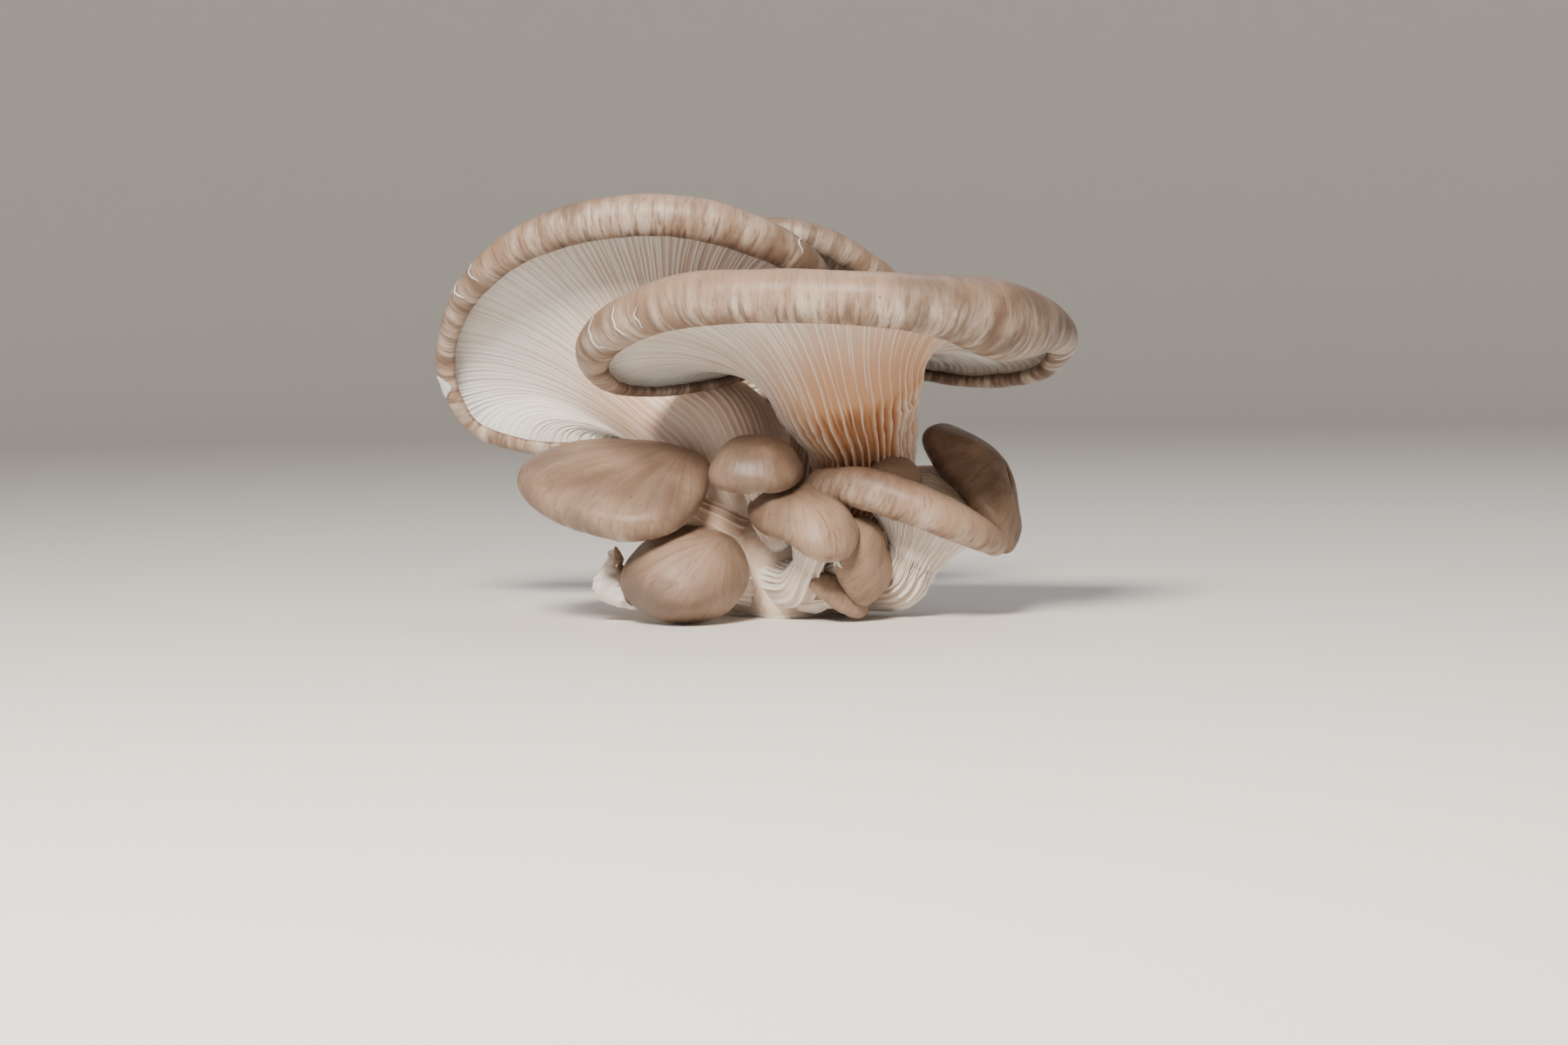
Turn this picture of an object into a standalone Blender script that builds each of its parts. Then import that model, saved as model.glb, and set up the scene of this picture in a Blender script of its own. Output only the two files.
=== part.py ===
# An oyster mushroom cluster, as pulled from its block and set down on a table.
# Every mushroom is a cap over one body of gills and stem, and all the stems grow out of one fused butt.
# The frame has +X to the right and +Y to the back as seen from the front, +Z up, and its origin at the middle
# of the flat cut under the butt. Sizes in the tables are millimetres.

import math

import bmesh
import bpy
import numpy as np

MM = 0.001
GAP = 0.3  # left between pieces that touch
CAP_SHARE = 0.45  # of the flesh between skin and gills that belongs to the cap
INNER_GAP = 0.6  # between a cap's flesh and its gills
SLIVER = 0.004  # edges shorter than this are closed up
LIP_STEP = math.radians(16)  # how far inside the lip the gills begin
RING_AT = 0.28  # where the gills meet the stem, as a share of the way from crown to edge
SPLINE_STEPS = 24  # fine steps between two points of a curve
GROOVE_SHARE = 0.7  # of the gills' flesh that a groove cuts into
EVEN_TURN = 0.35  # how evenly the gills are dealt round the stem: 0 straight outward, 1 even

# Each edge point is x, y, z and the radius of the rolled edge there. Each stem point is x, y, z and radius, from
# under the cap to the foot. roll gives the angles where the rolled edge starts and ends, in degrees above outward.
MUSHROOMS = [
    {
        "name": "front",
        "edge": [
            (29, 18, 54, 3.2),
            (12, 18, 56, 3.2),
            (-4, 14, 55, 3.0),
            (-17, 9, 52, 2.6),
            (-29, 2, 51, 2.6),
            (-37, -8, 53, 3.2),
            (-39.5, -22, 59, 4.4),
            (-33, -37, 65, 5.0),
            (-20, -49, 69, 5.4),
            (-2, -57, 70, 5.5),
            (18, -59, 69, 5.6),
            (34, -54, 67, 6.4),
            (46, -41, 64, 8.2),
            (56, -23, 62.6, 5.4),
            (60, -5, 59.5, 4.0),
            (56, 6, 54, 3.6),
            (44, 13, 52, 3.2),
        ],
        "crown": (15, -10, 66),
        "stem": [(15, -4, 46.5, 16.4), (16.9, -1.5, 38, 12.8), (16.8, 0, 29, 10.8), (13, 3, 20, 9.5)],
        "roll": (80, -118),
        "lip": 2.5,
        "swell": (0.42, 0.30),
        "flare": (0.34, 0.36),
        "columns": 30,
        "gill": 2.2,
    },
    {
        "name": "left",
        "edge": [
            (-14, 33, 42, 2.4),
            (-30, 35, 38, 2.4),
            (-45, 35, 36.5, 2.4),
            (-59, 37, 37.5, 2.4),
            (-70.5, 42, 42, 2.4),
            (-75.5, 38, 53, 2.7),
            (-74, 30, 64, 3.0),
            (-67, 19, 74.5, 3.6),
            (-55.5, 9, 82.5, 4.3),
            (-40.5, 3, 87, 4.8),
            (-24, 0, 87.5, 5.0),
            (-8.5, 2, 84, 4.8),
            (4, 8, 78, 4.2),
            (9, 16, 70, 3.2),
            (7, 24, 60, 2.8),
            (-2, 30, 50, 2.6),
        ],
        "crown": (-31, 37, 62),
        "stem": [(-22, 20.5, 48, 10.8), (-14, 15.5, 37, 12.0), (-8, 9, 26, 10.5), (-5, 5, 18, 8.0)],
        "roll": (80, -110),
        "lip": 2.2,
        "swell": (0.40, 0.34),
        "flare": (0.32, 0.40),
        "columns": 30,
        "gill": 2.0,
    },
    {
        "name": "back",
        "edge": [
            (9, 54, 34, 2.6),
            (-2, 54, 39, 2.6),
            (-12, 51, 48, 2.6),
            (-18, 45, 60, 2.8),
            (-17, 36, 73, 3.0),
            (-10, 29, 81, 3.0),
            (-2, 22, 84.5, 3.2),
            (8, 22, 82.5, 3.4),
            (17, 26, 78, 3.4),
            (25, 31, 71, 3.4),
            (29, 37, 61, 3.2),
            (27, 44, 50, 3.0),
            (20, 50, 40, 2.8),
        ],
        "crown": (7, 54, 60),
        "stem": [(9, 36, 46, 8.5), (8, 28, 36, 8.0), (6, 20, 27, 7.5), (5, 14, 18, 7.0)],
        "roll": (80, -110),
        "lip": 2.2,
        "swell": (0.42, 0.36),
        "flare": (0.34, 0.40),
        "columns": 20,
        "gill": 1.8,
    },
    {
        "name": "shelf",
        "edge": [
            (-18.6, -8, 31.0, 2.6),
            (-19.5, 1, 33.6, 2.6),
            (-27, 9, 35, 2.6),
            (-39, 12, 35.5, 2.6),
            (-50, 9, 34.5, 2.8),
            (-54.6, 1, 31, 3.2),
            (-51, -11, 27.5, 3.6),
            (-43, -19, 24.2, 4.0),
            (-33, -23, 22.2, 4.0),
            (-25, -21, 23.2, 3.6),
            (-20.6, -15, 26.6, 3.0),
        ],
        "crown": (-36, -5, 37.4),
        "stem": [(-25.5, -5.5, 24.5, 6.0), (-17, -2, 19, 7.0), (-8, 1, 15, 7.0)],
        "roll": (70, -115),
        "lip": 2.2,
        "swell": (0.44, 0.38),
        "flare": (0.34, 0.36),
        "columns": 16,
        "gill": 1.5,
    },
    {
        "name": "button",
        "edge": [
            (-6.5, -9.5, 34.5, 2.8),
            (-11.5, -12, 33.8, 2.8),
            (-13, -17.5, 32.4, 3.0),
            (-11, -22.5, 31.6, 3.2),
            (-5.5, -24.5, 31.4, 3.2),
            (-0.5, -22.5, 31.6, 3.2),
            (1.2, -17, 32.6, 3.0),
            (-1, -11.5, 34, 2.8),
        ],
        "crown": (-6, -16.5, 40.2),
        "stem": [(-5.5, -15.5, 27.5, 2.8), (-4, -12, 23, 3.6), (-1, -6, 18, 4.2)],
        "roll": (48, -92),
        "lip": 1.7,
        "swell": (0.5, 0.42),
        "flare": (0.3, 0.36),
        "columns": 10,
        "gill": 0.9,
    },
    {
        "name": "middle",
        "edge": [
            (3.5, -11.5, 26.5, 3.2),
            (-2, -11.5, 26.3, 3.2),
            (-4.6, -15, 24.5, 3.2),
            (-3, -22, 22.2, 3.2),
            (2.2, -26.5, 20.6, 3.2),
            (7, -29.5, 17.6, 3.4),
            (11.4, -27.5, 17.2, 3.4),
            (12.4, -21, 20.5, 3.2),
            (9.6, -15, 24.5, 3.2),
        ],
        "crown": (4, -19.8, 28.8),
        "stem": [(5.2, -18.4, 13, 3.7), (3, -12.5, 8, 5.0), (-1, -5, 8, 6.0)],
        "roll": (50, -74),
        "lip": 1.8,
        "swell": (0.54, 0.46),
        "flare": (0.3, 0.34),
        "columns": 12,
        "gill": 1.1,
    },
    {
        "name": "fold",
        "edge": [
            (18.8, -11, 7, 2.2),
            (16.8, -18.5, 5.6, 2.0),
            (13.6, -22, 10.2, 2.4),
            (13.0, -22, 15.4, 2.6),
            (15.2, -17, 19.6, 2.8),
            (17.8, -11, 18.6, 2.6),
            (19, -8, 13, 2.4),
        ],
        "crown": (21.5, -17.5, 13.4),
        "stem": [(11.0, -13.6, 11.0, 3.0), (7, -10, 9.5, 4.4), (2, -4, 8, 5.4)],
        "roll": (50, -82),
        "lip": 1.5,
        "swell": (0.46, 0.42),
        "flare": (0.32, 0.3),
        "columns": 10,
        "gill": 1.1,
    },
    {
        "name": "bud",
        "edge": [
            (14.6, -10.4, 5.4, 1.4),
            (9.4, -12, 8.6, 1.4),
            (6.2, -17.5, 8.6, 1.5),
            (10, -19.5, 5.4, 1.6),
            (14.4, -18, 2.6, 1.6),
            (16.4, -13.5, 2.6, 1.5),
        ],
        "crown": (13.6, -17.6, 8.2),
        "stem": [(8.8, -13.2, 4.2, 1.8), (6, -10, 3.9, 3.0), (2, -4, 5, 4.0)],
        "roll": (55, -84),
        "lip": 1.3,
        "swell": (0.44, 0.4),
        "flare": (0.34, 0.3),
        "columns": 8,
        "gill": 0.8,
    },
    {
        "name": "right",
        "edge": [
            (39.5, 1, 21, 2.6),
            (30, 2, 25, 2.6),
            (20, -3, 28, 2.8),
            (10, -10, 29.5, 3.4),
            (9, -15, 29, 4.0),
            (15, -20, 29.2, 4.4),
            (22, -22.5, 27.4, 4.5),
            (29, -24, 24.5, 4.4),
            (35.5, -23.5, 21.5, 4.2),
            (41.3, -20, 18.6, 3.6),
            (45, -14, 16.3, 2.8),
            (45, -5, 17.3, 2.6),
        ],
        "crown": (26.5, -9, 29.5),
        "stem": [(28, -9, 13, 6.6), (24.5, -7, 7.8, 6.6), (14, -1, 7.2, 6.2)],
        "roll": (86, -112),
        "lip": 2.0,
        "swell": (0.42, 0.36),
        "flare": (0.25, 0.15),
        "columns": 16,
        "gill": 1.6,
    },
    {
        "name": "peep",
        "edge": [
            (22, -3.5, 31, 2.2),
            (19.6, -7, 31, 2.2),
            (20.4, -11.5, 30.6, 2.2),
            (25, -12, 29.8, 2.2),
            (27.8, -8, 29.6, 2.2),
            (26, -4.5, 30.3, 2.2),
        ],
        "crown": (23.4, -7.8, 35.3),
        "stem": [(22.6, -6.2, 28.8, 1.6), (19.5, -3.5, 27, 2.4), (15, 0, 25, 3.0)],
        "roll": (48, -70),
        "lip": 1.4,
        "swell": (0.5, 0.42),
        "flare": (0.3, 0.34),
        "columns": 8,
        "gill": 0.7,
    },
    {
        "name": "ear",
        "edge": [
            (48.4, 11, 26, 2.2),
            (44, 15, 34, 2.2),
            (37, 14, 39, 2.2),
            (32.8, 8.6, 38.0, 2.2),
            (35.9, 4.4, 32.4, 2.5),
            (40.2, 0.8, 27.8, 2.7),
            (44, -1.8, 23.2, 2.8),
            (46.5, -3, 20, 2.6),
            (48.4, -1, 15, 2.2),
            (50, 5, 18, 2.2),
        ],
        "crown": (47.5, 4, 33.2),
        "stem": [(36.6, 8.2, 26.2, 3.2), (31.4, 8.6, 28.4, 4.2), (26, 8.6, 24, 5.0), (19, 8, 14, 5.6)],
        "roll": (76, -34),
        "lip": 1.7,
        "swell": (0.46, 0.4),
        "flare": (0.32, 0.32),
        "columns": 12,
        "gill": 1.2,
    },
    {
        "name": "low",
        "edge": [
            (-20.5, -11.5, 18, 2.8),
            (-28.6, -13, 15.4, 2.8),
            (-32.4, -15, 9.5, 2.8),
            (-28.6, -16, 4.8, 3.0),
            (-21.5, -17, 3.1, 3.1),
            (-14, -16, 4.8, 3.0),
            (-10.6, -14, 10.4, 3.0),
            (-13, -12, 16, 2.8),
        ],
        "crown": (-21.5, -27.6, 9.8),
        "stem": [(-20.2, -11.5, 10.2, 4.0), (-15, -6.5, 9.4, 5.6), (-7, 0, 8, 6.4)],
        "roll": (48, -82),
        "lip": 1.7,
        "swell": (0.5, 0.42),
        "flare": (0.3, 0.3),
        "columns": 12,
        "gill": 1.0,
    },
]

# The fused butt: middle, half sizes, and where the knife or the pull left it flat.
BUTT_MIDDLE = (1.0, 6.0, 11.0)
BUTT_HALF = (17.0, 15.0, 15.0)
BUTT_SEGMENTS = 22
BUTT_RINGS = 14
BUTT_LUMP = 1.5  # how far its surface rises and falls

# The torn edge beside the low mushroom: a ragged ribbon of bare flesh. Each point is x, y, z, half width and
# half thickness.
FLAP = [
    (-24, -8, 8, 2.6, 1.6),
    (-32, -7.5, 4.6, 3.4, 1.5),
    (-37.3, -8, 6.4, 3.6, 1.3),
    (-38.4, -7.6, 11, 2.8, 1.1),
    (-36.6, -7, 15, 1.4, 0.8),
]
FLAP_SIDES = 8
FLAP_RAGGED = 0.5

CAP_BROWN = (0.45, 0.31, 0.22, 1)
GILL_CREAM = (0.80, 0.74, 0.66, 1)
BUTT_WHITE = (0.82, 0.78, 0.71, 1)


def unit(v):
    """Vectors at length 1, along the last axis."""
    return v / np.maximum(np.linalg.norm(v, axis=-1, keepdims=True), 1e-9)


def catmull_rom(a, b, c, d, t):
    """The curve from b to c, at shares t of the way."""
    return 0.5 * (2 * b + (c - a) * t + (2 * a - 5 * b + 4 * c - d) * t**2 + (3 * b - a - 3 * c + d) * t**3)


def resampled(points, wanted):
    """Rows of points at wanted shares of the length, which is measured on x, y and z."""
    along = np.concatenate([[0], np.cumsum(np.linalg.norm(np.diff(points[:, :3], axis=0), axis=1))])
    places = np.asarray(wanted) * along[-1]
    return np.stack([np.interp(places, along, points[:, k]) for k in range(points.shape[1])], axis=1)


def closed_curve(points, count):
    """A closed curve through the points, as count rows at even spacing."""
    p = np.asarray(points, float)
    t = np.linspace(0, 1, SPLINE_STEPS, endpoint=False)[:, None]
    n = len(p)
    fine = [catmull_rom(p[k - 1], p[k], p[(k + 1) % n], p[(k + 2) % n], t) for k in range(n)]
    fine = np.concatenate([*fine, p[:1]])
    return resampled(fine, np.linspace(0, 1, count, endpoint=False))


def open_curve(points, count):
    """A curve through the points from end to end, as count rows at even spacing."""
    p = np.asarray(points, float)
    p = np.vstack([2 * p[0] - p[1], p, 2 * p[-1] - p[-2]])
    t = np.linspace(0, 1, SPLINE_STEPS, endpoint=False)[:, None]
    fine = [catmull_rom(p[k], p[k + 1], p[k + 2], p[k + 3], t) for k in range(len(p) - 3)]
    fine = np.concatenate([*fine, p[-2:-1]])
    return resampled(fine, np.linspace(0, 1, count))


def bezier(a, b, c, d, t):
    return a * (1 - t) ** 3 + 3 * b * t * (1 - t) ** 2 + 3 * c * t**2 * (1 - t) + d * t**3


class Shape:
    """One mushroom's surfaces as rings of points, one point for each column of gills.

    A ring runs round the mushroom. skin goes from the crown to the lip, under from the lip to the stem, and stem
    from there to the foot. middle lies between skin and under, where cap and gills part."""

    def __init__(self, spec, count, skin_rows, roll_rows, stem_rows):
        self.spec = spec
        self.crown = np.array(spec["crown"], float)
        stem = open_curve(spec["stem"], stem_rows + 1)
        self.top, self.foot = stem[0, :3], stem[-1, :3]
        self.edge = self.turned_upward(closed_curve(spec["edge"], count))
        self.frame_the_edge()
        self.rings_round_stem(stem)
        self.skin_and_under(skin_rows, roll_rows)

    def turned_upward(self, edge):
        """The edge listed anticlockwise as seen from the cap's skin side."""
        around = edge[:, :3] - edge[:, :3].mean(0)
        self.up = unit(np.cross(around, np.roll(around, -1, axis=0)).sum(0))
        if self.up @ (self.crown - self.top) < 0:
            self.up = -self.up
            edge = np.vstack([edge[:1], edge[:0:-1]])
        return edge

    def frame_the_edge(self):
        """At each edge point, the ways outward and skinward across the rolled edge."""
        self.middle_of_roll = self.edge[:, :3]
        self.roll = self.edge[:, 3:4]
        along = unit(np.roll(self.middle_of_roll, -1, axis=0) - np.roll(self.middle_of_roll, 1, axis=0))
        outward = self.middle_of_roll - self.crown
        local_up = unit(np.cross(outward, along))
        self.skinward = unit(local_up + self.up)
        self.outward = unit(np.cross(along, self.skinward))
        self.skinward = unit(np.cross(self.outward, along))

    def rings_round_stem(self, stem):
        """Rings of the stem, each column at its own turn, in frames carried along the stem without twist."""
        down = unit(np.gradient(stem[:, :3], axis=0))
        side = unit(np.cross(down[0], self.up if abs(down[0] @ self.up) < 0.9 else self.outward[0]))
        sides = []
        for way in down:
            side = unit(side - way * (side @ way))
            sides.append(side)
        sides = np.array(sides)
        others = np.cross(down, sides)
        reach = self.middle_of_roll - self.top
        turn = np.unwrap(np.arctan2(reach @ others[0], reach @ sides[0]))
        way_round = np.sign(turn[-1] - turn[0])
        even = turn.mean() + way_round * 2 * math.pi * (np.arange(len(turn)) / len(turn) - 0.5)
        turn = (1 - EVEN_TURN) * turn + EVEN_TURN * even
        spokes = np.cos(turn)[None, :, None] * sides[:, None] + np.sin(turn)[None, :, None] * others[:, None]
        self.stem = stem[:, None, :3] + spokes * stem[:, None, 3:4]
        self.down = down[0]

    def on_roll(self, radius, angle):
        return self.middle_of_roll + radius * (math.cos(angle) * self.outward + math.sin(angle) * self.skinward)

    def skin_and_under(self, skin_rows, roll_rows):
        start, end = (math.radians(a) for a in self.spec["roll"])
        ahead = math.sin(start) * self.outward - math.cos(start) * self.skinward
        lip = np.minimum(self.spec["lip"], self.roll * 0.75)
        inner = self.roll - lip
        over, beneath = self.on_roll(self.roll, start), self.on_roll(inner, start)
        reach = np.linalg.norm(over - self.crown, axis=1, keepdims=True)
        from_crown = unit(over - self.crown - self.up * ((over - self.crown) @ self.up)[:, None])
        near, far = self.spec["swell"]
        skin_handles = (self.crown + from_crown * reach * near, over - ahead * reach * far)
        ring = self.stem[0]
        depth = np.linalg.norm(beneath - ring, axis=1, keepdims=True)
        near, far = self.spec["flare"]
        under_handles = (beneath - ahead * depth * near, ring - self.down * depth * far)

        def skin_at(t):
            return bezier(self.crown, *skin_handles, over, t)

        def under_at(t):
            if t < RING_AT:
                return self.top + (ring - self.top) * (t / RING_AT)
            return bezier(beneath, *under_handles, ring, (1 - t) / (1 - RING_AT))

        shares = np.linspace(0, 1, skin_rows + 1)[1:]
        angles = np.linspace(start, end, roll_rows + 1)[1:]
        tip = self.on_roll(inner + lip / 2, end) + lip / 2 * (
            math.sin(end) * self.outward - math.cos(end) * self.skinward
        )
        self.skin = [skin_at(t) for t in shares] + [self.on_roll(self.roll, a) for a in angles] + [tip]
        self.lip_inside = self.on_roll(inner, end)
        roll_back = np.linspace(end + LIP_STEP, start, roll_rows)
        self.middle = [self.on_roll(self.roll - lip * CAP_SHARE, a) for a in roll_back]
        self.lowered = [self.on_roll(self.roll - lip * CAP_SHARE - GAP, a) for a in roll_back]
        for t in shares[-2::-1]:
            skin, under = skin_at(t), under_at(t)
            self.middle.append(skin + (under - skin) * CAP_SHARE)
            self.lowered.append(self.middle[-1] + unit(under - skin) * INNER_GAP)
        self.middle_pole = self.crown + (self.top - self.crown) * CAP_SHARE
        self.lowered_pole = self.middle_pole + unit(self.top - self.crown) * INNER_GAP
        self.under = [self.on_roll(inner, a) for a in roll_back]
        self.inward = [self.on_roll(self.roll, a) - self.middle_of_roll for a in roll_back]
        room = [lip * (1 - CAP_SHARE) - GAP] * len(roll_back)
        for t in shares[shares > RING_AT][-2::-1]:
            skin, under = skin_at(t), under_at(t)
            self.under.append(under)
            self.inward.append(skin - under)
            thick = np.linalg.norm(skin - under, axis=1, keepdims=True)
            room.append(thick * (1 - CAP_SHARE) - INNER_GAP)
        down_stem = np.linspace(1, 0, len(self.stem))
        for k, ring in enumerate(self.stem):
            self.inward.append(ring.mean(0) - ring)
            room.append(np.full_like(lip, down_stem[k] * self.spec["gill"]))
        self.depth = [np.clip(r * GROOVE_SHARE, 0, self.spec["gill"]) for r in room]


def with_grooves(shape):
    """The under and stem rings with twice the columns, every other one sunk so that gills stand between them."""
    grooved = []
    for ring, inward, depth in zip([*shape.under, *shape.stem], shape.inward, shape.depth):
        doubled = np.repeat(ring, 2, axis=0)
        between = (ring + np.roll(ring, -1, axis=0)) / 2
        way = unit(inward + np.roll(inward, -1, axis=0))
        doubled[1::2] = between + way * ((depth + np.roll(depth, -1, axis=0)) / 2)
        grooved.append(doubled)
    return grooved


def bridge(mesh, outer, inner):
    """Faces between two rings of vertices, where inner may have as many as outer, twice as many, or one."""
    n = len(outer)
    for k in range(n):
        a, b = outer[k], outer[(k + 1) % n]
        if len(inner) == 1:
            mesh.faces.new((b, a, inner[0]))
        elif len(inner) == n:
            mesh.faces.new((b, a, inner[k], inner[(k + 1) % n]))
        else:
            mesh.faces.new((a, inner[2 * k], inner[2 * k + 1]))
            mesh.faces.new((b, a, inner[2 * k + 1], inner[(2 * k + 2) % len(inner)]))


def loft(name, start, rings, end):
    """A closed mesh from a start point through rings to an end point."""
    mesh = bmesh.new()
    layers = [[mesh.verts.new(p * MM) for p in np.atleast_2d(layer)] for layer in [start, *rings, end]]
    for first, second in zip(layers, layers[1:]):
        if len(first) == 1:
            bridge(mesh, second[::-1], first)
        else:
            bridge(mesh, first, second)
    bmesh.ops.recalc_face_normals(mesh, faces=mesh.faces)
    if mesh.calc_volume(signed=True) < 0:
        bmesh.ops.reverse_faces(mesh, faces=mesh.faces)
    bmesh.ops.triangulate(mesh, faces=mesh.faces, quad_method="FIXED")
    data = bpy.data.meshes.new(name)
    mesh.to_mesh(data)
    mesh.free()
    data.shade_smooth()
    return data


def material(name, colour, roughness):
    made = bpy.data.materials.new(name)
    made.use_nodes = True
    shader = made.node_tree.nodes["Principled BSDF"]
    shader.inputs["Base Color"].default_value = colour
    shader.inputs["Roughness"].default_value = roughness
    shader.inputs["Metallic"].default_value = 0.0
    return made


def add(name, data, collection, finish=None):
    obj = bpy.data.objects.new(name, data)
    collection.objects.link(obj)
    if finish:
        data.materials.append(finish)
    return obj


def add_cutter(name, data, collection, grow):
    """A hidden body, grown by the gap that its neighbours keep to it."""
    cutter = add(name, data, collection)
    swell = cutter.modifiers.new("gap", "DISPLACE")
    swell.mid_level = 0
    swell.strength = grow * MM
    cutter.hide_render = True
    cutter.display_type = "WIRE"
    return cutter


def make_cap(shape, collection, finish):
    name = "cap_" + shape.spec["name"]
    rings = [*shape.skin, shape.lip_inside, *shape.middle]
    return add(name, loft(name, shape.crown, rings, shape.middle_pole), collection, finish)


def make_gills(shape, collection, finish):
    """The gills as ridges that run from the lip down on to the stem, in one body with it."""
    name = "gills_" + shape.spec["name"]
    data = loft(name, shape.lowered_pole, [*shape.lowered[::-1], *with_grooves(shape)], shape.foot)
    return add(name, data, collection, finish)


def press_body(shape, collection):
    """The mushroom's plain outside, which dents whatever grows against it."""
    name = "press_" + shape.spec["name"]
    rings = [*shape.skin, shape.lip_inside, *shape.under, *shape.stem]
    data = loft(name, shape.crown, rings, shape.foot)
    return add_cutter(name, data, collection, GAP)


def make_butt(name, grow):
    """A lumpy ball with the flat cut under it."""
    mesh = bmesh.new()
    bmesh.ops.create_uvsphere(mesh, u_segments=BUTT_SEGMENTS, v_segments=BUTT_RINGS, radius=1)
    for v in mesh.verts:
        x, y, z = v.co
        lump = BUTT_LUMP * (math.sin(5 * x + 2 * z) * math.cos(4 * y) + 0.5 * math.sin(9 * y + 6 * z))
        for k in range(3):
            v.co[k] = MM * (BUTT_MIDDLE[k] + v.co[k] * (BUTT_HALF[k] + lump + grow))
    plane = {"plane_co": (0, 0, -grow * MM), "plane_no": (0, 0, -1)}
    cut = bmesh.ops.bisect_plane(mesh, geom=[*mesh.verts, *mesh.edges, *mesh.faces], clear_outer=True, **plane)
    rim = [e for e in cut["geom_cut"] if isinstance(e, bmesh.types.BMEdge)]
    bmesh.ops.edgeloop_fill(mesh, edges=rim)
    bmesh.ops.recalc_face_normals(mesh, faces=mesh.faces)
    bmesh.ops.triangulate(mesh, faces=mesh.faces, quad_method="FIXED")
    data = bpy.data.meshes.new(name)
    mesh.to_mesh(data)
    mesh.free()
    data.shade_smooth()
    return data


def make_flap(name):
    """The ragged ribbon of torn flesh, its root sunk in the low mushroom's gills."""
    path = open_curve(FLAP, 9)
    along = unit(np.gradient(path[:, :3], axis=0))
    across = unit(np.cross(along, (0.3, -0.4, -0.9)))
    through = np.cross(along, across)
    turns = np.linspace(0, 2 * math.pi, FLAP_SIDES, endpoint=False)
    rings = []
    for k, point in enumerate(path):
        ragged = 1 + FLAP_RAGGED * np.sin(7.3 * k + 3 * turns)[:, None] * k / len(path) * 0.5
        ring = point[:3] + ragged * (
            np.cos(turns)[:, None] * across[k] * point[3] + np.sin(turns)[:, None] * through[k] * point[4]
        )
        rings.append(ring)
    return loft(name, path[0, :3] - along[0], rings, path[-1, :3] + along[-1])


def box_of(obj):
    points = np.array([v.co for v in obj.data.vertices])
    return points.min(0), points.max(0)


def boxes_meet(a, b):
    low_a, high_a = box_of(a)
    low_b, high_b = box_of(b)
    room = 2 * GAP * MM
    return bool((low_a - room < high_b).all() and (low_b - room < high_a).all())


def join_or_cut(obj, other, operation):
    change = obj.modifiers.new(other.name, "BOOLEAN")
    change.operation = operation
    change.solver = "MANIFOLD"
    change.object = other


def keep_largest(obj):
    """Fixes the piece's shape as its Booleans leave it, without the crumbs that they cut loose."""
    shape = obj.evaluated_get(bpy.context.evaluated_depsgraph_get())
    mesh = bmesh.new()
    mesh.from_mesh(shape.to_mesh())
    bmesh.ops.triangulate(mesh, faces=mesh.faces)
    bmesh.ops.dissolve_degenerate(mesh, edges=mesh.edges, dist=SLIVER * MM)
    bmesh.ops.triangulate(mesh, faces=mesh.faces)
    left, bodies = set(mesh.faces), []
    while left:
        body, reached = set(), {left.pop()}
        while reached:
            body |= reached
            reached = {f for face in reached for e in face.edges for f in e.link_faces} - body
        left -= body
        bodies.append(body)
    crumbs = sorted(bodies, key=lambda body: sum(f.calc_area() for f in body))[:-1]
    bmesh.ops.delete(mesh, geom=[f for crumb in crumbs for f in crumb], context="FACES")
    obj.modifiers.clear()
    mesh.to_mesh(obj.data)
    mesh.free()


def rows_for(columns):
    """Rows of a mushroom's grid by its size: skin, roll and stem."""
    return (6, 4, 3) if columns >= 20 else (4, 3, 2)


def main():
    for obj in list(bpy.data.objects):
        bpy.data.objects.remove(obj)
    cluster = bpy.data.collections.new("oyster_mushroom_cluster")
    cutters = bpy.data.collections.new("cutters")
    for collection in (cluster, cutters):
        bpy.context.scene.collection.children.link(collection)
    skin = material("cap_skin", CAP_BROWN, 0.5)
    cream = material("gill_flesh", GILL_CREAM, 0.7)
    white = material("butt_flesh", BUTT_WHITE, 0.8)

    add("butt", make_butt("butt", 0), cluster, white)
    presses = [add_cutter("press_butt", make_butt("press_butt", GAP), cutters, GAP / 3)]
    for spec in MUSHROOMS:
        shape = Shape(spec, spec["columns"], *rows_for(spec["columns"]))
        pieces = [make_cap(shape, cluster, skin), make_gills(shape, cluster, cream)]
        if spec["name"] == "low":
            flap = add("torn_flap", make_flap("torn_flap"), cutters)
            join_or_cut(pieces[1], flap, "UNION")
        for piece in pieces:
            for press in presses:
                if boxes_meet(piece, press):
                    join_or_cut(piece, press, "DIFFERENCE")
            keep_largest(piece)
        presses.append(press_body(shape, cutters))
    for helper in list(cutters.objects):
        bpy.data.objects.remove(helper)
    bpy.data.collections.remove(cutters)


main()
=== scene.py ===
import math

import bpy
import numpy as np
from mathutils import Matrix, Vector


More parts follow.
